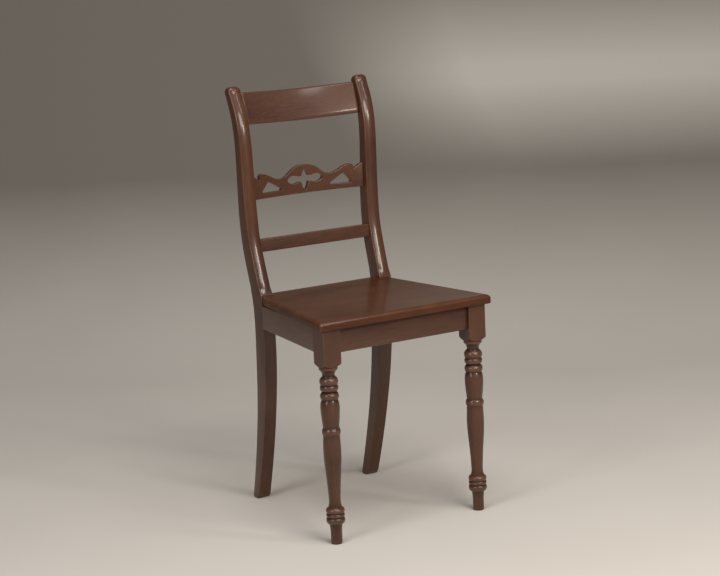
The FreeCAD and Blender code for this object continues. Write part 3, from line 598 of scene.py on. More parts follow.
def turned_mesh(material):
    outline = turning()
    wear = turning_wear(outline)
    line = bpy.data.meshes.new("turning")
    points = [(LEG_X, LEG_Y, z) for _, z in outline]
    line.from_pydata(points, [(i, i + 1) for i in range(len(points) - 1)], [])
    for name, values in (("turned_radius", outline[:, 0]), ("wear", wear)):
        mark = line.attributes.new(name, "FLOAT", "POINT")
        mark.data.foreach_set("value", np.asarray(values, np.float32))
    holder = add_object("turning", line)
    sides = bpy.context.scene.chair_sizes.turned_sides
    mesh = through_nodes(holder, sweep_tree(), {"Sides": sides, "Finish": material})
    bpy.data.objects.remove(holder)
    return mesh


def block_loops():
    """The square block, whose corners run in to the round at its foot."""
    sizes = bpy.context.scene.chair_sizes
    foot = sizes.block_foot
    run = sizes.block_run_in
    corner = BLOCK_HALF * math.sqrt(2)
    ease = sizes.eased_edge
    rise = arc_points(
        (19.6 * MM, foot - run), (corner - 2.2 * MM, foot - 0.38 * run),
        (corner + 0.1 * MM, foot), 16,
    )
    levels = [(z, r) for r, z in rise]
    levels += [(foot + 0.3 * (SEAT_UNDERSIDE - foot), corner + MM), (SEAT_UNDERSIDE, corner + MM)]
    angles = []
    for quarter in range(4):
        start = quarter * 90.0
        for turn in (-45, -43.6, -42, -39, -34, -28, -21, -14, -7, 0,
                     7, 14, 21, 28, 34, 39, 42, 43.6):
            angles.append(math.radians(start + turn))
    loops, wear = [], []
    for z, limit in levels:
        ring, worn = [], []
        for angle in angles:
            flat = BLOCK_HALF / max(abs(math.cos(angle)), abs(math.sin(angle)))
            reach = min(flat, limit, corner - 0.41 * ease)
            ring.append((LEG_X + reach * math.cos(angle), LEG_Y + reach * math.sin(angle), z))
            near = abs(abs(math.degrees(angle)) % 90 - 45)
            worn.append(max(0.0, 1.0 - near / 2.5) if z > foot - run / 2 else 0.0)
        loops.append(np.array(ring))
        wear.append(worn)
    return loops, np.concatenate(wear)


def build_front_legs():
    wood = polished_wood("leg_wood", GRAIN_UP, 1.3)
    turned = finish_mesh("turned_part", turned_mesh(wood), 30.0)
    loops, wear = block_loops()
    vertices, faces = skin(loops)
    block = make_piece("leg_block", vertices, faces, wear, 25.0)
    shape = bmesh.new()
    shape.from_mesh(block.data)
    shape.from_mesh(turned.data)
    mesh = bpy.data.meshes.new("front_leg_right")
    shape.to_mesh(mesh)
    shape.free()
    for spare in (turned, block):
        bpy.data.objects.remove(spare)
    right = add_object("front_leg_right", mesh)
    left = mirrored_copy(right, "front_leg_left")
    place(right, wood, ["right_front_leg"])
    place(left, polished_wood("leg_wood_left", GRAIN_UP, 2.9), ["left_front_leg"])


# Rear posts


def post_lines():
    """Smooth front and back lines of the post, from its CAD slices."""
    low, high = 14 * MM, HEAD_START
    stop = SEAT_TOP + 1.5 * MM
    knee = SEAT_TOP - 70 * MM
    back_levels = np.concatenate([
        np.linspace(low, SEAT_TOP, 11), np.linspace(SEAT_TOP + 22 * MM, high, 16),
    ])
    front_low = np.linspace(low, knee, 9)
    front_high = np.concatenate([[SEAT_TOP + 24 * MM], np.linspace(SEAT_TOP + 44 * MM, high, 15)])
    back = Spline(back_levels, [post_slice(z)[3] for z in back_levels])
    lower = Spline(front_low, [post_slice(z)[2] for z in front_low])
    flat = post_slice(SEAT_TOP - 30 * MM)[2]
    start = [stop, SEAT_TOP + 12 * MM]
    begun = [flat, flat + 2.6 * MM]
    upper = Spline(
        np.concatenate([start, front_high]), begun + [post_slice(z)[2] for z in front_high]
    )
    return back, lower, upper, flat, knee, stop


def post_levels(stop):
    """Heights of the post's sections: close together at the foot, the stop and the head."""
    head = [HEAD_START + (POST_TOP - HEAD_START) * math.sin(a)
            for a in np.linspace(0.1, 1.5, 16)]
    return np.concatenate([
        [0.0, 0.5 * MM, 1.2 * MM, 2.5 * MM, 4.5 * MM, 7 * MM, 10 * MM],
        np.arange(14 * MM, SEAT_TOP - 4 * MM, 6 * MM),
        np.arange(SEAT_TOP - 3 * MM, stop + 30 * MM, 1.0 * MM),
        np.arange(stop + 32 * MM, HEAD_START, 5 * MM),
        head,
    ])


def post_section(z, lines):
    back_line, lower, upper, flat, knee, stop = lines
    sizes = bpy.context.scene.chair_sizes
    inner, outer = post_inner(z), post_outer(z)
    half_width = POST_WIDTH / 2
    middle = (inner + outer) / 2
    low, high = lower(knee - 1e-4), upper(min(max(z, stop), HEAD_START))
    if z < 13 * MM:
        low, back = post_slice(max(z, 0.05 * MM))[2:]
        front = low
    elif z < knee:
        front, back = lower(z), back_line(z)
    elif z < stop:
        front, back = flat, back_line(z)
    else:
        front, back = high, back_line(min(z, HEAD_START))
    crown = 0.0
    ease = sizes.eased_edge
    if z > stop:
        share = min((z - stop) / sizes.stop_length, 1.0)
        share *= share * (3 - 2 * share)
        crown = sizes.post_crown * share
        ease += (sizes.post_edge - ease) * share
    if z > HEAD_START:
        share = (z - HEAD_START) / (POST_TOP - HEAD_START)
        shrink = math.sqrt(max(1 - share * share, 0.0004))
        centre = (front + back) / 2
        front, back = centre + (front - centre) * shrink, centre + (back - centre) * shrink
        crown *= shrink
        ease += 1.5 * MM * share
    over = z - (POST_TOP - HEAD_ROUNDING)
    if over > 0:
        half_width -= HEAD_ROUNDING - math.sqrt(max(HEAD_ROUNDING ** 2 - over ** 2, 0.0))
    steps = 14
    reach = half_width / (POST_WIDTH / 2)
    ease = min(ease, (back - front) / 3)
    corners = [
        (middle + half_width, back, ease, 0.5),
        (middle - half_width, back, ease, 0.5),
    ]
    for i in range(-1, steps + 2):
        at_edge = i in (-1, steps + 1)
        if at_edge:
            x = math.copysign(1, i - 1)
        else:
            x = (1 - ease / half_width) * (2 * i / steps - 1)
        y = front + crown * (x * reach) ** 2
        rounding, worn = (ease, 1.0) if at_edge else (0.0, 0.0)
        corners.append((middle + x * half_width, y, rounding, worn))
    loop, wear = eased_loop(corners, 6)
    return np.column_stack([loop, np.full(len(loop), z)]), wear


def build_rear_posts():
    lines = post_lines()
    loops, wear = [], []
    for z in post_levels(lines[-1]):
        loop, worn = post_section(z, lines)
        loops.append(loop)
        wear.append(worn)
    vertices, faces = skin(loops)
    right = make_piece("rear_post_right", vertices, faces, np.concatenate(wear), 40.0)
    left = mirrored_copy(right, "rear_post_left")
    place(right, polished_wood("post_wood", GRAIN_UP, 4.1), ["right_rear_post"])
    place(left, polished_wood("post_wood_left", GRAIN_UP, 5.7), ["left_rear_post"])


# Seat


def seat_outline(inset):
    """The seat's outline, its front and side edges moved in; the back edges stay."""
    sizes = bpy.context.scene.chair_sizes
    front = SEAT_LOW.y + inset
    notch = post_slice(SEAT_UNDERSIDE)[2] - 0.4 * MM
    tail = post_inner(SEAT_UNDERSIDE) - 0.4 * MM
    back = SEAT_HIGH.y
    wide = sizes.seat_front_width / 2
    narrow = post_outer(SEAT_TOP) - 2.4 * MM
    run = notch - SEAT_LOW.y
    slope = (wide - narrow) / run
    sideways = inset * math.sqrt(1 + slope * slope)
    at_front = wide - slope * inset - sideways
    at_notch = narrow - sideways
    corner = max(sizes.seat_corner - 0.2 * inset, 1.5 * MM)
    corners = [
        (at_front, front, corner, 0.5),
        (at_notch, notch, 0.0, 0.0),
        (tail, notch, 0.0, 0.0),
        (tail, back, 0.6 * MM, 0.3),
        (-tail, back, 0.6 * MM, 0.3),
        (-tail, notch, 0.0, 0.0),
        (-at_notch, notch, 0.0, 0.0),
        (-at_front, front, corner, 0.5),
    ]
    return eased_loop(corners, 6)


def build_seat():
    """The seat: a thick panel with a rounded upper edge and a small lower one."""
    sizes = bpy.context.scene.chair_sizes
    top, low = sizes.seat_rounding, sizes.seat_under_rounding
    levels = []
    for i in range(6):
        angle = i / 5 * math.pi / 2
        z = SEAT_UNDERSIDE + low * (1 - math.cos(angle))
        levels.append((z, low * (1 - math.sin(angle)), 0.0))
    for i in range(13):
        angle = i / 12 * math.pi / 2
        z = SEAT_TOP - top + top * math.sin(angle)
        levels.append((z, top * (1 - math.cos(angle)), math.sin(2 * angle) * 0.35))
    loops, wear = [], []
    for z, inset, worn in levels:
        loop, corner_wear = seat_outline(inset)
        loops.append(np.column_stack([loop, np.full(len(loop), z)]))
        wear.append(np.clip(corner_wear * 0.6 + worn, 0, 1) * (z > SEAT_UNDERSIDE + 2 * MM))
    vertices, faces = skin(loops)
    seat = make_piece("seat", vertices, faces, np.concatenate(wear), 30.0)
    place(seat, polished_wood("seat_wood", GRAIN_ACROSS, 6.2, 0.28), ["seat_panel"])


# Seat rails


def bar_loops(start, end, height, thickness, inward, ease, foot_ease):
    """Sections of a straight bar with eased edges; start and end lie on its outer foot."""
    start, end, inward = Vector(start), Vector(end), Vector(inward)
    corners = [
        (0.0, 0.0, foot_ease, 0.6),
        (thickness, 0.0, ease, 0.2),
        (thickness, height, ease, 0.0),
        (0.0, height, ease, 0.0),
    ]
    flat, worn = eased_loop(corners)
    loops, wear = [], []
    for share in (0.0, 0.002, 0.25, 0.5, 0.75, 0.998, 1.0):
        base = start.lerp(end, share)
        loops.append(np.array([base + inward * a + Vector((0, 0, b)) for a, b in flat]))
        wear.append(worn)
    return loops, np.concatenate(wear)


def build_seat_rails():
    sizes = bpy.context.scene.chair_sizes
    height = SEAT_UNDERSIDE - RAIL_BOTTOM
    ease = 0.4 * MM
    foot = sizes.rail_rounding
    low, high = FRONT_RAIL_BOX
    loops, wear = bar_loops(
        (low.x, low.y, RAIL_BOTTOM), (high.x, low.y, RAIL_BOTTOM), height, high.y - low.y,
        (0, 1, 0), ease, foot,
    )
    vertices, faces = skin(loops)
    front = make_piece("rail_front", vertices, faces, wear, 35.0)
    place(front, polished_wood("front_rail_wood", GRAIN_ACROSS, 7.4), ["front_rail"])

    low, high = REAR_RAIL_BOX
    level = RAIL_BOTTOM + height / 2
    loops, wear = bar_loops(
        (-post_inner(level), high.y, RAIL_BOTTOM), (post_inner(level), high.y, RAIL_BOTTOM), height,
        high.y - low.y, (0, -1, 0), ease, foot,
    )
    vertices, faces = skin(loops)
    rear = make_piece("rail_rear", vertices, faces, wear, 35.0)
    place(rear, polished_wood("rear_rail_wood", GRAIN_ACROSS, 8.8), ["rear_rail"])

    points = cad_points("right_side_rail")
    y_front, y_back = points[:, 1].min(), points[:, 1].max()
    out_front = points[points[:, 1] < y_front + MM][:, 0].max()
    out_back = points[points[:, 1] > y_back - MM][:, 0].max()
    along = Vector((out_back - out_front, y_back - y_front, 0))
    inward = Vector((-along.y, along.x, 0)).normalized()
    thickness = high.y - low.y
    loops, wear = bar_loops(
        (out_front, y_front, RAIL_BOTTOM), (out_back, y_back, RAIL_BOTTOM), height, thickness,
        inward, ease, foot,
    )
    for loop in loops:
        ends = np.clip(loop[:, 1], y_front, y_back)
        if loop is loops[0]:
            ends[:] = y_front
        if loop is loops[-1]:
            ends[:] = y_back
        slant = along.x / along.y
        loop[:, 0] += (ends - loop[:, 1]) * slant
        loop[:, 1] = ends
    vertices, faces = skin(loops)
    right = make_piece("rail_side_right", vertices, faces, wear, 35.0)
    left = mirrored_copy(right, "rail_side_left")
    place(right, polished_wood("side_rail_wood", GRAIN_BACK, 9.5), ["right_side_rail"])
    place(left, polished_wood("side_rail_wood_left", GRAIN_BACK, 10.9), ["left_side_rail"])


# Back rails

# Front upper and lower edge, each as reach along the face and depth; then the back edges
CREST_EDGES = ((5.5 * MM, 6.5 * MM), (9.0 * MM, 8.5 * MM), 2.4 * MM)
CREST_ENDS = (7.0 * MM, 6.5 * MM)
LOWER_RAIL_EDGES = ((2.4 * MM, 2.4 * MM), (2.4 * MM, 2.4 * MM), 2.0 * MM)


def board_section(face, back, half, upper, lower, rear, swell):
    """Flat section of a back rail: depth against rise, its front face swelling a little.

    Upper and lower are the front edges' roundings, each how far down the face it reaches
    and how deep; rear rounds both edges of the back.
    """
    corners = [(-back, -half, rear, 0.2), (-back, half, rear, 0.3)]
    corners.append((face, half, (upper[1], upper[0]), 0.5))
    high, low = half - upper[0] * 1.03, -half + lower[0] * 1.03
    steps = 10
    for i in range(steps + 1):
        rise = high + (low - high) * i / steps
        corners.append((face + swell * (1 - (rise / half) ** 2), rise, 0.0, 0.0))
    corners.append((face, -half, lower, 0.4))
    return eased_loop(corners, 9)


def back_rail_loops(depth, level, height, thickness, tilt, bow, edges, swell=0.0, end=(0.0, 0.0)):
    """Sections along X of a board between the posts: tilted, bowed back, edges rounded.

    End is how far from the posts the board's ends are rounded, and how deep.
    """
    half_t, half_h = thickness / 2, height / 2
    lean = math.radians(tilt)
    along = [-math.cos(math.pi * i / 80) for i in range(81)]
    loops, wear = [], []
    reach = post_inner(level)
    for s in along:
        gap = (1 - abs(s)) * reach
        fall = 0.0
        if gap < end[0]:
            fall = end[1] * (1 - math.sqrt(max(1 - (1 - gap / end[0]) ** 2, 0.0)))
        flat, worn = board_section(
            half_t - fall, half_t, half_h - 0.7 * fall, edges[0], edges[1], edges[2], swell
        )
        loop = np.zeros((len(flat), 3))
        back = -flat[:, 0] + bow * (1 - s * s)
        rise = flat[:, 1]
        loop[:, 1] = depth + back * math.cos(lean) + rise * math.sin(lean)
        loop[:, 2] = level - back * math.sin(lean) + rise * math.cos(lean)
        loop[:, 0] = [s * post_inner(z) for z in loop[:, 2]]
        loops.append(loop)
        wear.append(worn)
    return loops, np.concatenate(wear)


def end_middle(node, reach):
    """Middle depth and height of a back rail's CAD solid where it meets the post."""
    points = cad_points(node)
    near = points[np.abs(points[:, 0] - reach) < 4 * MM]
    low, high = near.min(0), near.max(0)
    return (low + high) / 2


def build_crest_rail():
    sizes = bpy.context.scene.chair_sizes
    middle = end_middle("crest_rail", post_inner(0.85))
    loops, wear = back_rail_loops(
        middle[1] - 0.8 * MM, middle[2], sizes.crest_height, sizes.crest_thickness,
        sizes.crest_tilt, sizes.crest_bow, CREST_EDGES, sizes.crest_swell, CREST_ENDS,
    )
    vertices, faces = skin(loops)
    crest = make_piece("rail_crest", vertices, faces, wear, 40.0)
    place(crest, polished_wood("crest_wood", GRAIN_ACROSS, 12.6), ["crest_rail"])


def build_lower_back_rail():
    sizes = bpy.context.scene.chair_sizes
    middle = end_middle("lower_back_rail", post_inner(0.56))
    loops, wear = back_rail_loops(
        middle[1], middle[2], sizes.lower_rail_height, 16.0 * MM, 6.0, 0.0,
        LOWER_RAIL_EDGES, 0.3 * MM, (0.8 * MM, 0.8 * MM),
    )
    vertices, faces = skin(loops)
    rail = make_piece("rail_lower_back", vertices, faces, wear, 40.0)
    place(rail, polished_wood("lower_rail_wood", GRAIN_ACROSS, 13.8), ["lower_back_rail"])


# The pierced rail from the front, in millimetres from its middle and its lower edge
PIERCED_MIDDLE = 25.0
PIERCED_WAVE = (
    (0.0, 60.8), (14.0, 59.6), (30.0, 52.8), (49.0, 39.1),
    (63.0, 36.3), (79.0, 41.1), (98.0, 50.3), (108.0, 52.5),
)
PIERCED_SCROLL = ((108.0, 52.5), (113.2, 50.9), (115.5, 46.5))
PIERCED_NOTCH = (116.0, 40.8)
PIERCED_EAR = 52.5
SLIT_ENDS = (5.3, 53.0)
SLIT_HALF_WIDTH = 8.5
ARM_LEVEL = 30.5
ARM_SIDE = ((13.0, 6.0), (20.0, 7.6), (27.5, 9.0), (35.0, 7.6), (40.5, 4.4))
ARM_TIP = ((42.4, 2.0), (43.0, 0.0))
ARM_CORNER = 0.8
TRIANGLE = ((54.0, 11.5), (93.0, 35.0), (112.5, 12.0))
TRIANGLE_ROUNDING = 2.5


def pierced_outlines(level):
    """The scrolled outline and the openings of the pierced rail, seen from the front."""
    reach = post_inner(level + PIERCED_MIDDLE * MM) / MM
    wave = Spline([x for x, _ in PIERCED_WAVE], [z for _, z in PIERCED_WAVE])
    half = [(x, wave(x)) for x in np.linspace(0, PIERCED_WAVE[-1][0], 40)]
    half += arc_points(*PIERCED_SCROLL, 8)[1:]
    half += [PIERCED_NOTCH, (reach, PIERCED_EAR)]
    outer = [(-x, z) for x, z in reversed(half[1:])] + half
    outlines = [outer + [(reach, 0.0), (-reach, 0.0)]]

    low, high = SLIT_ENDS
    middle, span = (low + high) / 2, (high - low) / 2

    def slit_side(start, end):
        """One side of the slit, a full oval with pointed ends, between two heights."""
        points = []
        for z in np.linspace(start, end, 16):
            share = min(1.0, abs(z - middle) / span)
            points.append((SLIT_HALF_WIDTH * (1 - share ** 2.3) ** 0.85, z))
        return points

    side = Spline([x for x, _ in ARM_SIDE], [rise for _, rise in ARM_SIDE])
    arm = [(x, side(x)) for x in np.linspace(ARM_SIDE[0][0], ARM_SIDE[-1][0], 20)]
    arm += ARM_TIP
    root = ARM_SIDE[0][1] + ARM_CORNER
    right_half = slit_side(high, ARM_LEVEL + root)
    right_half += [(x, ARM_LEVEL + rise) for x, rise in arm]
    right_half += [(x, ARM_LEVEL - rise) for x, rise in arm[-2::-1]]
    right_half += slit_side(ARM_LEVEL - root, low)
    outlines.append(right_half + [(-x, z) for x, z in reversed(right_half[1:-1])])
    for sign in (1, -1):
        corners = [(sign * x, z) for x, z in TRIANGLE]
        outlines.append(rounded_polygon(corners, TRIANGLE_ROUNDING))
    return [[(x * MM, level + z * MM) for x, z in outline] for outline in outlines]


def turns_left(outline):
    """True for an outline that runs anticlockwise."""
    area = 0.0
    for (ax, ay), (bx, by) in zip(outline, outline[1:] + outline[:1]):
        area += ax * by - bx * ay
    return area > 0


def rounded_polygon(corners, radius, steps=6):
    """A polygon whose corners are true arcs of one radius."""
    points = []
    count = len(corners)
    for i, corner in enumerate(corners):
        here = Vector(corner)
        before = (Vector(corners[i - 1]) - here).normalized()
        after = (Vector(corners[(i + 1) % count]) - here).normalized()
        half = before.angle(after) / 2
        bisector = (before + after).normalized()
        centre = here + bisector * (radius / math.sin(half))
        start = here + before * (radius / math.tan(half))
        end = here + after * (radius / math.tan(half))
        middle = centre - bisector * radius
        points += arc_points(tuple(start), tuple(middle), tuple(end), steps)
    return points


def build_pierced_rail():
    """The pierced rail: cut out flat, its edges eased, then bowed back in the middle."""
    sizes = bpy.context.scene.chair_sizes
    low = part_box("pierced_rail")[0]
    ease = 0.7 * MM
    curve = bpy.data.curves.new("pierced", "CURVE")
    curve.dimensions = "2D"
    curve.fill_mode = "BOTH"
    curve.extrude = sizes.pierced_thickness / 2 - ease
    curve.bevel_depth = ease
    curve.bevel_resolution = 2
    curve.offset = -ease
    for outline in pierced_outlines(low.z):
        is_hole = len(curve.splines) > 0
        if turns_left(outline) == is_hole:
            outline = outline[::-1]
        spline = curve.splines.new("POLY")
        spline.points.add(len(outline) - 1)
        for point, (x, z) in zip(spline.points, outline):
            point.co = (x, z, 0.0, 1.0)
        spline.use_cyclic_u = True
    holder = add_object("pierced", curve)
    graph = bpy.context.evaluated_depsgraph_get()
    mesh = bpy.data.meshes.new_from_object(holder.evaluated_get(graph))
    bpy.data.objects.remove(holder)
    mesh.transform(Matrix.Rotation(math.pi / 2, 4, "X"))
    shape = bmesh.new()
    shape.from_mesh(mesh)
    bmesh.ops.remove_doubles(shape, verts=shape.verts, dist=2e-5)
    for x in np.arange(-144, 145, 4) * MM:
        everything = list(shape.verts) + list(shape.edges) + list(shape.faces)
        bmesh.ops.bisect_plane(
            shape, geom=everything, dist=1e-6, plane_co=(x, 0, 0), plane_no=(1, 0, 0)
        )
    reach = post_inner(low.z + PIERCED_MIDDLE * MM)
    front = low.y
    half = sizes.pierced_thickness / 2
    mark = shape.verts.layers.float.new("wear")
    for vertex in shape.verts:
        x, y, z = vertex.co
        edge = abs(abs(y) - half) < 0.5 * MM and abs(y) < half - 0.05 * MM
        vertex[mark] = 0.8 if edge else 0.0
        bow = sizes.pierced_bow * (1 - (x / reach) ** 2)
        vertex.co.y = front + half + y + bow
        vertex.co.x = x * post_inner(z) / reach
    bmesh.ops.recalc_face_normals(shape, faces=shape.faces)
    shape.to_mesh(mesh)
    shape.free()
    rail = finish_mesh("rail_pierced", mesh, 40.0)
    place(rail, polished_wood("pierced_wood", GRAIN_ACROSS, 15.1), ["pierced_rail"])


# Under the seat


def carry_hidden_parts():
    """The corner blocks and dowels keep their CAD shape and get their wood."""
    beech = bare_wood("beech", (0.40, 0.25, 0.13), (0.27, 0.16, 0.08), GRAIN_ACROSS, 3.3)
    dowel = bare_wood("dowel_beech", (0.52, 0.37, 0.21), (0.40, 0.27, 0.15), GRAIN_ACROSS, 5.1)
    for name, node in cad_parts.items():
        if "corner_block_screws" in name or "seat_screws" in name:
            continue
        if "dowels" in name or "corner_block" in name:
            material = dowel if "dowels" in name else beech
            for material_slot in node.material_slots:
                material_slot.material = material
            if not node.material_slots:
                node.data.materials.append(material)


def solid_islands(node):
    """The separate solids of a CAD node, each as its points."""
    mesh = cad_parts[node].data
    shape = bmesh.new()
    shape.from_mesh(mesh)
    bmesh.ops.remove_doubles(shape, verts=shape.verts, dist=1e-6)
    left = set(shape.verts)
    islands = []
    while left:
        stack = [left.pop()]
        found = []
        while stack:
            vertex = stack.pop()
            found.append(tuple(vertex.co))
            for edge in vertex.link_edges:
                other = edge.other_vert(vertex)
                if other in left:
                    left.remove(other)
                    stack.append(other)
        islands.append(np.array(found))
    shape.free()
    return islands


def screw_axis(points):
    """Middle of the screw's head and the direction in which it is driven."""
    centre = points.mean(0)
    _, _, axes = np.linalg.svd(points - centre)
    axis = axes[0]
    along = (points - centre) @ axis
    far = points - centre - np.outer(along, axis)
    wide = np.linalg.norm(far, axis=1)
    if along[wide.argmax()] > 0:
        axis, along = -axis, -along
    start = along.min()
    ring = points[along < start + 0.1 * MM]
    return ring.mean(0), axis


def screw_mesh(length):
    """One countersunk slotted screw, its head at the origin, driven along Z."""
    head, shank = 4.0 * MM, 2.0 * MM
    outline = [(0.0, 0.25 * MM), (head - 0.9 * MM, 0.25 * MM), (head - 0.25 * MM, 0.3 * MM),
               (head, 0.5 * MM), (shank, 2.6 * MM)]
    pitch = 1.6 * MM
    z = 9.0 * MM
    outline.append((shank, z))
    while z < length - 4 * MM:
        outline += [(shank * 0.72, z + 0.2 * pitch), (shank * 0.72, z + 0.5 * pitch),
                    (shank * 0.98, z + 0.75 * pitch)]
        z += pitch
    outline += [(shank * 0.5, length - 2 * MM), (0.2 * MM, length)]
    sides = 20
    loops = [
        np.array([(r * math.cos(math.tau * i / sides), r * math.sin(math.tau * i / sides), z)
                  for i in range(sides)])
        for r, z in [(max(r, 0.05 * MM), z) for r, z in outline]
    ]
    vertices, faces = skin(loops)
    screw = make_piece("screw", vertices, faces, None, 30.0)
    slot_low, slot_high = Vector((-5 * MM, -0.5 * MM, -MM)), Vector((5 * MM, 0.5 * MM, 1.3 * MM))
    cutter = box_piece("screw_slot", slot_low, slot_high)
    cut = screw.modifiers.new("slot", "BOOLEAN")
    cut.operation = "DIFFERENCE"
    cut.object = cutter
    graph = bpy.context.evaluated_depsgraph_get()
    mesh = bpy.data.meshes.new_from_object(screw.evaluated_get(graph))
    for spare in (screw, cutter):
        bpy.data.objects.remove(spare)
    return mesh


def box_piece(name, low, high):
    corners = [(low.x, low.y), (high.x, low.y), (high.x, high.y), (low.x, high.y)]
    loops = [np.array([(x, y, z) for x, y in corners]) for z in (low.z, high.z)]
    vertices, faces = skin(loops)
    return make_piece(name, vertices, faces)


def scatter_tree():
    """Geometry nodes that put one screw on each point, driven along the point's axis."""
    tree = new_tree("driven_screws", Screw="Object", Finish="Material")
    nodes, link = tree.nodes, tree.links.new
    given = nodes.new("NodeGroupInput")
    axis = nodes.new("GeometryNodeInputNamedAttribute")
    axis.data_type = "FLOAT_VECTOR"
    axis.inputs["Name"].default_value = "driven"
    turn = nodes.new("FunctionNodeAlignRotationToVector")
    turn.axis = "Z"
    points = nodes.new("GeometryNodeMeshToPoints")
    info = nodes.new("GeometryNodeObjectInfo")
    spread = nodes.new("GeometryNodeInstanceOnPoints")
    real = nodes.new("GeometryNodeRealizeInstances")
    finish = nodes.new("GeometryNodeSetMaterial")
    result = nodes.new("NodeGroupOutput")
    link(given.outputs["Geometry"], points.inputs["Mesh"])
    link(points.outputs["Points"], spread.inputs["Points"])
    link(given.outputs["Screw"], info.inputs["Object"])
    link(info.outputs["Geometry"], spread.inputs["Instance"])
    link(axis.outputs["Attribute"], turn.inputs["Vector"])
    link(turn.outputs["Rotation"], spread.inputs["Rotation"])
    link(spread.outputs["Instances"], real.inputs["Geometry"])
    link(real.outputs["Geometry"], finish.inputs["Geometry"])
    link(given.outputs["Finish"], finish.inputs["Material"])
    link(finish.outputs["Geometry"], result.inputs["Geometry"])
    return tree


def build_screws():
    steel = screw_steel()
    tree = scatter_tree()
    for node in ("corner_block_screws", "seat_screws"):
        places = [screw_axis(points) for points in solid_islands(node)]
        lengths = [np.ptp(points @ axis) for points, (_, axis) in zip(solid_islands(node), places)]
        model = add_object("one_screw", screw_mesh(max(lengths)))
        spots = bpy.data.meshes.new("spots")
        spots.from_pydata([tuple(head) for head, _ in places], [], [])
        mark = spots.attributes.new("driven", "FLOAT_VECTOR", "POINT")
        axes = np.concatenate([axis for _, axis in places])
        mark.data.foreach_set("vector", axes.astype(np.float32))
        holder = add_object("spots", spots)
        mesh = through_nodes(holder, tree, {"Screw": model, "Finish": steel})
        for spare in (holder, model):
            bpy.data.objects.remove(spare)
        screws = finish_mesh(node + "_driven", mesh, 30.0)
        place(screws, steel, [node])


def build_hidden_parts():
    carry_hidden_parts()
    build_screws()


# Stage


def stage_material():
    """Pale floor that runs up into a grey-beige backdrop, lighter towards one side."""
    look = bpy.context.scene.chair_stage
    material, shader, start = new_material("studio_paper")
    spot = start.node("ShaderNodeTexCoord", output=3)
    side = start.node("ShaderNodeSeparateXYZ", None, {"Vector": spot}, 0)
    height = start.node("ShaderNodeSeparateXYZ", None, {"Vector": spot}, 2)
    mottle = noise(spot, (1.0, 1.0, 1.0), 1.1, 2.0)
    rise = (height + (mottle - 0.5) * 0.1).between(-0.12, 0.42)
    beam = height.between(0.40, 0.66) * (1.0 - height.between(0.72, 0.95) * 0.7)
    lit = beam * side.between(1.2, 1.65)
    colour = rise.mix((*look.floor_colour, 1.0), (*look.backdrop_colour, 1.0))
    colour = (lit * 0.75).mix(colour, (*look.floor_colour, 1.0))
    connect(shader, "Base Color", colour)
    shader.inputs["Roughness"].default_value = 0.9
    shader.inputs["Specular IOR Level"].default_value = 0.1
    return material


def build_backdrop():
    """One sheet: the floor under the chair, curving up into the backdrop behind it."""
    line = [(-9.0, 0.0)]
    line += [(y, 0.0) for y in np.linspace(-6.0, 1.2, 8)]
    radius = 1.6
    for i in range(1, 13):
        angle = i / 12 * math.pi / 2
        line.append((1.2 + radius * math.sin(angle), radius * (1 - math.cos(angle))))
    line.append((1.2 + radius, 6.0))
    turn = math.radians(-31.0)
    vertices, faces = [], []
    for x in (-9.0, 9.0):
        for y, z in line:
            vertices.append((x * math.cos(turn) - y * math.sin(turn),
                             x * math.sin(turn) + y * math.cos(turn), z))
    count = len(line)
    for i in range(count - 1):
        faces.append((i, i + 1, count + i + 1, count + i))
    mesh = bpy.data.meshes.new("backdrop")
    mesh.from_pydata(vertices, [], faces)
    mesh.shade_smooth()
    mesh.materials.append(stage_material())
    sheet = add_object("backdrop", mesh)


def aim(thing, target):
    thing.rotation_euler = (Vector(target) - thing.location).to_track_quat("-Z", "Y").to_euler()


def soft_lamp(name, direction, distance, size, power, colour=(1.0, 1.0, 1.0), target=(0, 0, 0.6)):
    """A rectangular soft lamp, at a compass angle from the front and an elevation."""
    azimuth, elevation = (math.radians(angle) for angle in direction)
    lamp = bpy.data.lights.new(name, "AREA")
    lamp.shape = "RECTANGLE"
    lamp.size, lamp.size_y = size
    lamp.energy = power
    lamp.color = colour
    holder = bpy.data.objects.new(name, lamp)
    flat = distance * math.cos(elevation)
    holder.location = Vector(target) + Vector((
        flat * math.sin(azimuth), -flat * math.cos(azimuth), distance * math.sin(elevation)
    ))
    aim(holder, target)
    bpy.context.scene.collection.objects.link(holder)
    return holder


def build_camera():
    """The photograph's viewpoint."""
    look = bpy.context.scene.chair_stage
    yaw, pitch, roll = look.camera_yaw, look.camera_pitch, look.camera_roll
    forward = Vector((
        math.sin(yaw) * math.cos(pitch), math.cos(yaw) * math.cos(pitch), -math.sin(pitch)
    ))
    level_right = Vector((math.cos(yaw), -math.sin(yaw), 0.0))
    level_up = level_right.cross(forward)
    right = level_right * math.cos(roll) + level_up * math.sin(roll)
    up = level_up * math.cos(roll) - level_right * math.sin(roll)
    camera = bpy.data.cameras.new("camera")
    camera.lens = look.camera_lens
    camera.sensor_width = 36.0
    camera.clip_end = 60.0
    holder = bpy.data.objects.new("camera", camera)
    turn = Matrix((right, up, -forward)).transposed()
    holder.matrix_world = Matrix.Translation(look.camera_place) @ turn.to_4x4()
    bpy.context.scene.collection.objects.link(holder)
    bpy.context.scene.camera = holder


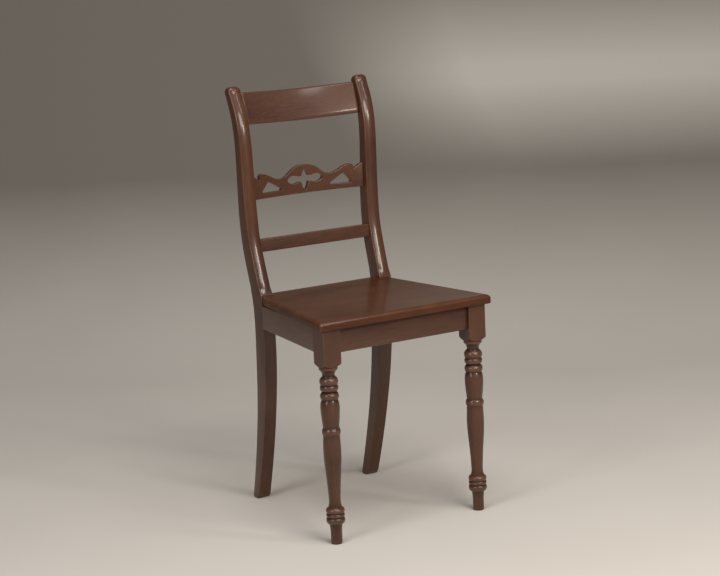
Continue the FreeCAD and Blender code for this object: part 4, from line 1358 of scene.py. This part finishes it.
def build_stage():
    scene = bpy.context.scene
    look = scene.chair_stage
    build_backdrop()
    build_camera()
    soft_lamp("front_window", (-4, 24), 2.2, (0.75, 0.6), look.window_power,
              (1.0, 0.93, 0.86), (0, 0, 0.8))
    soft_lamp("right_window", (31, 46), 3.2, (0.3, 1.4), look.right_power)
    soft_lamp("overhead", (-25, 70), 3.4, (2.0, 1.6), look.overhead_power)
    soft_lamp("crest_window", (13, 14), 2.6, (0.6, 0.4), look.crest_power,
              (1.0, 0.93, 0.86), (0, 0, 0.85))
    soft_lamp("left_fill", (-70, 22), 3.4, (1.0, 1.8), look.fill_power)
    world = bpy.data.worlds.new("studio")
    world.use_nodes = True
    background = world.node_tree.nodes["Background"]
    background.inputs["Color"].default_value = (0.93, 0.95, 1.0, 1.0)
    background.inputs["Strength"].default_value = look.world_strength
    scene.world = world
    scene.view_settings.view_transform = "Standard"


# Add-on


def length_property(name, description, default, low, high):
    return FloatProperty(
        name=name, description=description, default=default, min=low, max=high, unit="LENGTH",
    )


def factor_property(name, description, default):
    return FloatProperty(
        name=name, description=description, default=default, min=0.0, max=1.0,
        subtype="FACTOR",
    )


def power_property(name, description, default):
    return FloatProperty(
        name=name, description=description, default=default, min=0.0, unit="POWER",
    )


def angle_property(name, description, degrees):
    return FloatProperty(
        name=name, description=description, default=math.radians(degrees),
        subtype="ANGLE", unit="ROTATION",
    )


class ChairSizes(PropertyGroup):
    """Sizes of the chair's details."""

    eased_edge: length_property(
        "Eased edge", "Radius of the posts' and blocks' sharp edges",
        0.0012, 0.0002, 0.004,
    )
    post_edge: length_property(
        "Post edge", "Rounding of the posts' front edges above the seat",
        0.0028, 0.0002, 0.006,
    )
    post_crown: length_property(
        "Post crown", "How far the posts' rounded front stands before its edges",
        0.0045, 0.0, 0.01,
    )
    stop_length: length_property(
        "Stop length", "Height in which the rounded front reaches its full depth",
        0.018, 0.005, 0.06,
    )
    block_foot: length_property(
        "Block foot", "Height where the leg block's straight faces end",
        SEAT_UNDERSIDE - 0.069, 0.2, 0.44,
    )
    block_run_in: length_property(
        "Block run-in", "Height in which the block's corners meet the round",
        0.007, 0.002, 0.03,
    )
    turned_sides: IntProperty(
        name="Turned sides", description="Faces round the turned legs", default=72, min=24, max=128,
    )
    seat_front_width: length_property(
        "Seat front width", "Seat's width at its front edge",
        2 * (LEG_HIGH.x + 0.011), 0.3, 0.6,
    )
    seat_corner: length_property(
        "Seat corner", "Rounding of the seat's front corners, seen from above",
        0.006, 0.001, 0.03,
    )
    seat_rounding: length_property(
        "Seat rounding", "Radius of the seat's upper edge",
        0.008, 0.001, 0.015,
    )
    seat_under_rounding: length_property(
        "Seat lower rounding", "Radius of the seat's lower edge",
        0.003, 0.0005, 0.008,
    )
    rail_rounding: length_property(
        "Rail rounding", "Radius of the seat rails' lower outer edge",
        0.003, 0.0005, 0.008,
    )
    crest_height: length_property(
        "Crest height", "Height of the crest rail along its tilt",
        0.0695, 0.03, 0.1,
    )
    crest_thickness: length_property(
        "Crest thickness", "Thickness of the crest rail",
        0.0115, 0.006, 0.03,
    )
    crest_tilt: FloatProperty(
        name="Crest tilt", description="How far the crest rail leans back, in degrees",
        default=17.0, min=0.0, max=40.0,
    )
    crest_bow: length_property(
        "Crest bow", "How far the crest rail is bowed back in the middle",
        0.0135, 0.0, 0.03,
    )
    crest_swell: length_property(
        "Crest swell", "How far the crest rail's face swells forward",
        0.0010, 0.0, 0.004,
    )
    lower_rail_height: length_property(
        "Lower rail height", "Height of the lower back rail",
        0.0276, 0.01, 0.06,
    )
    pierced_thickness: length_property(
        "Pierced thickness", "Thickness of the pierced rail",
        0.010, 0.004, 0.02,
    )
    pierced_bow: length_property(
        "Pierced bow", "How far the pierced rail is bowed back in the middle",
        0.015, 0.0, 0.03,
    )


def colour_property(name, description, default):
    return FloatVectorProperty(
        name=name, description=description, subtype="COLOR", size=3, default=default,
        min=0.0, max=1.0,
    )


class ChairFinish(PropertyGroup):
    """Colours and gloss of the wood."""

    light_wood: colour_property("Light wood", "Light bands of the grain", (0.092, 0.033, 0.0160))
    dark_wood: colour_property("Dark wood", "Dark bands of the grain", (0.026, 0.0083, 0.0042))
    warm_wood: colour_property("Warm wood", "Warmer patches of the stain", (0.112, 0.042, 0.016))
    pore_colour: colour_property("Pores", "Open pores and grime in grooves", (0.012, 0.005, 0.004))
    rubbed_wood: colour_property("Rubbed wood", "Edges worn by use", (0.23, 0.11, 0.062))
    edge_wear: factor_property("Edge wear", "How much the edges are rubbed", 0.35)
    roughness: factor_property("Roughness", "Roughness of the stained wood", 0.40)
    polish: factor_property("Polish", "Weight of the polish over the stain", 0.58)
    polish_roughness: factor_property("Polish roughness", "Roughness of the polish", 0.15)


class ChairStage(PropertyGroup):
    """Camera, light and backdrop."""

    floor_colour: colour_property("Floor", "Colour of the floor", (0.72, 0.67, 0.605))
    backdrop_colour: colour_property("Backdrop", "Colour of the backdrop", (0.215, 0.190, 0.162))
    window_power: power_property("Window", "Power of the soft lamp in front", 20.0)
    right_power: power_property("Right window", "Power of the small soft lamp at the right", 13.0)
    crest_power: power_property(
        "Crest window", "Power of the soft lamp that lights the crest rail", 19.0,
    )
    overhead_power: power_property("Overhead", "Power of the soft lamp above", 60.0)
    fill_power: power_property("Fill", "Power of the soft lamp at the left", 34.0)
    world_strength: FloatProperty(
        name="Surroundings", description="Strength of the even light all round", default=0.17,
        min=0.0,
    )
    camera_place: FloatVectorProperty(
        name="Camera place", description="Where the camera stands", size=3, subtype="XYZ",
        default=(-2.0301, -3.4140, 1.2436), unit="LENGTH",
    )
    camera_yaw: angle_property(
        "Camera yaw", "Turn of the view from straight back towards the right", 30.951,
    )
    camera_pitch: angle_property("Camera pitch", "How far the camera looks down", 10.989)
    camera_roll: angle_property("Camera roll", "Tilt of the picture", -2.727)
    camera_lens: FloatProperty(
        name="Camera lens", description="Focal length in millimetres on a 36 mm wide sensor",
        default=96.85, min=10.0, max=300.0,
    )


class BuildStep:
    """One step of the build; what goes wrong in it is raised."""

    def execute(self, context):
        self.build()
        return {"FINISHED"}


class CHAIR_OT_front_legs(BuildStep, Operator):
    """Make the two turned front legs"""

    bl_idname = "chair.front_legs"
    bl_label = "Front legs"
    build = staticmethod(build_front_legs)


class CHAIR_OT_rear_posts(BuildStep, Operator):
    """Make the two curved rear posts"""

    bl_idname = "chair.rear_posts"
    bl_label = "Rear posts"
    build = staticmethod(build_rear_posts)


class CHAIR_OT_seat(BuildStep, Operator):
    """Make the seat panel"""

    bl_idname = "chair.seat"
    bl_label = "Seat"
    build = staticmethod(build_seat)


class CHAIR_OT_seat_rails(BuildStep, Operator):
    """Make the four rails under the seat"""

    bl_idname = "chair.seat_rails"
    bl_label = "Seat rails"
    build = staticmethod(build_seat_rails)


class CHAIR_OT_crest_rail(BuildStep, Operator):
    """Make the bowed crest rail"""

    bl_idname = "chair.crest_rail"
    bl_label = "Crest rail"
    build = staticmethod(build_crest_rail)


class CHAIR_OT_pierced_rail(BuildStep, Operator):
    """Make the scrolled and pierced rail"""

    bl_idname = "chair.pierced_rail"
    bl_label = "Pierced rail"
    build = staticmethod(build_pierced_rail)


class CHAIR_OT_lower_back_rail(BuildStep, Operator):
    """Make the plain lower back rail"""

    bl_idname = "chair.lower_back_rail"
    bl_label = "Lower back rail"
    build = staticmethod(build_lower_back_rail)


class CHAIR_OT_hidden_parts(BuildStep, Operator):
    """Finish the corner blocks and dowels and drive the screws"""

    bl_idname = "chair.hidden_parts"
    bl_label = "Hidden parts"
    build = staticmethod(build_hidden_parts)


class CHAIR_OT_stage(BuildStep, Operator):
    """Set up the floor, backdrop, lamps and camera"""

    bl_idname = "chair.stage"
    bl_label = "Stage"
    build = staticmethod(build_stage)


OPERATORS = (
    CHAIR_OT_front_legs,
    CHAIR_OT_rear_posts,
    CHAIR_OT_seat,
    CHAIR_OT_seat_rails,
    CHAIR_OT_crest_rail,
    CHAIR_OT_pierced_rail,
    CHAIR_OT_lower_back_rail,
    CHAIR_OT_hidden_parts,
    CHAIR_OT_stage,
)


class CHAIR_PT_panel(Panel):
    """Lists the chair's pieces, sizes and finish"""

    bl_idname = "CHAIR_PT_panel"
    bl_label = "Dining chair"
    bl_space_type = "VIEW_3D"
    bl_region_type = "UI"
    bl_category = "Chair"

    def draw(self, context):
        for operator in OPERATORS:
            self.layout.operator(operator.bl_idname)
        scene = context.scene
        for group in (scene.chair_sizes, scene.chair_finish, scene.chair_stage):
            box = self.layout.box()
            for name in group.__annotations__:
                box.prop(group, name)


CLASSES = (ChairSizes, ChairFinish, ChairStage, *OPERATORS, CHAIR_PT_panel)


def register():
    for one in CLASSES:
        bpy.utils.register_class(one)
    bpy.types.Scene.chair_sizes = PointerProperty(type=ChairSizes)
    bpy.types.Scene.chair_finish = PointerProperty(type=ChairFinish)
    bpy.types.Scene.chair_stage = PointerProperty(type=ChairStage)


def unregister():
    for name in ("chair_sizes", "chair_finish", "chair_stage"):
        delattr(bpy.types.Scene, name)
    for one in reversed(CLASSES):
        bpy.utils.unregister_class(one)


def main():
    register()
    for operator in OPERATORS:
        family, name = operator.bl_idname.split(".")
        getattr(getattr(bpy.ops, family), name)()


if __name__ == "__main__":
    main()
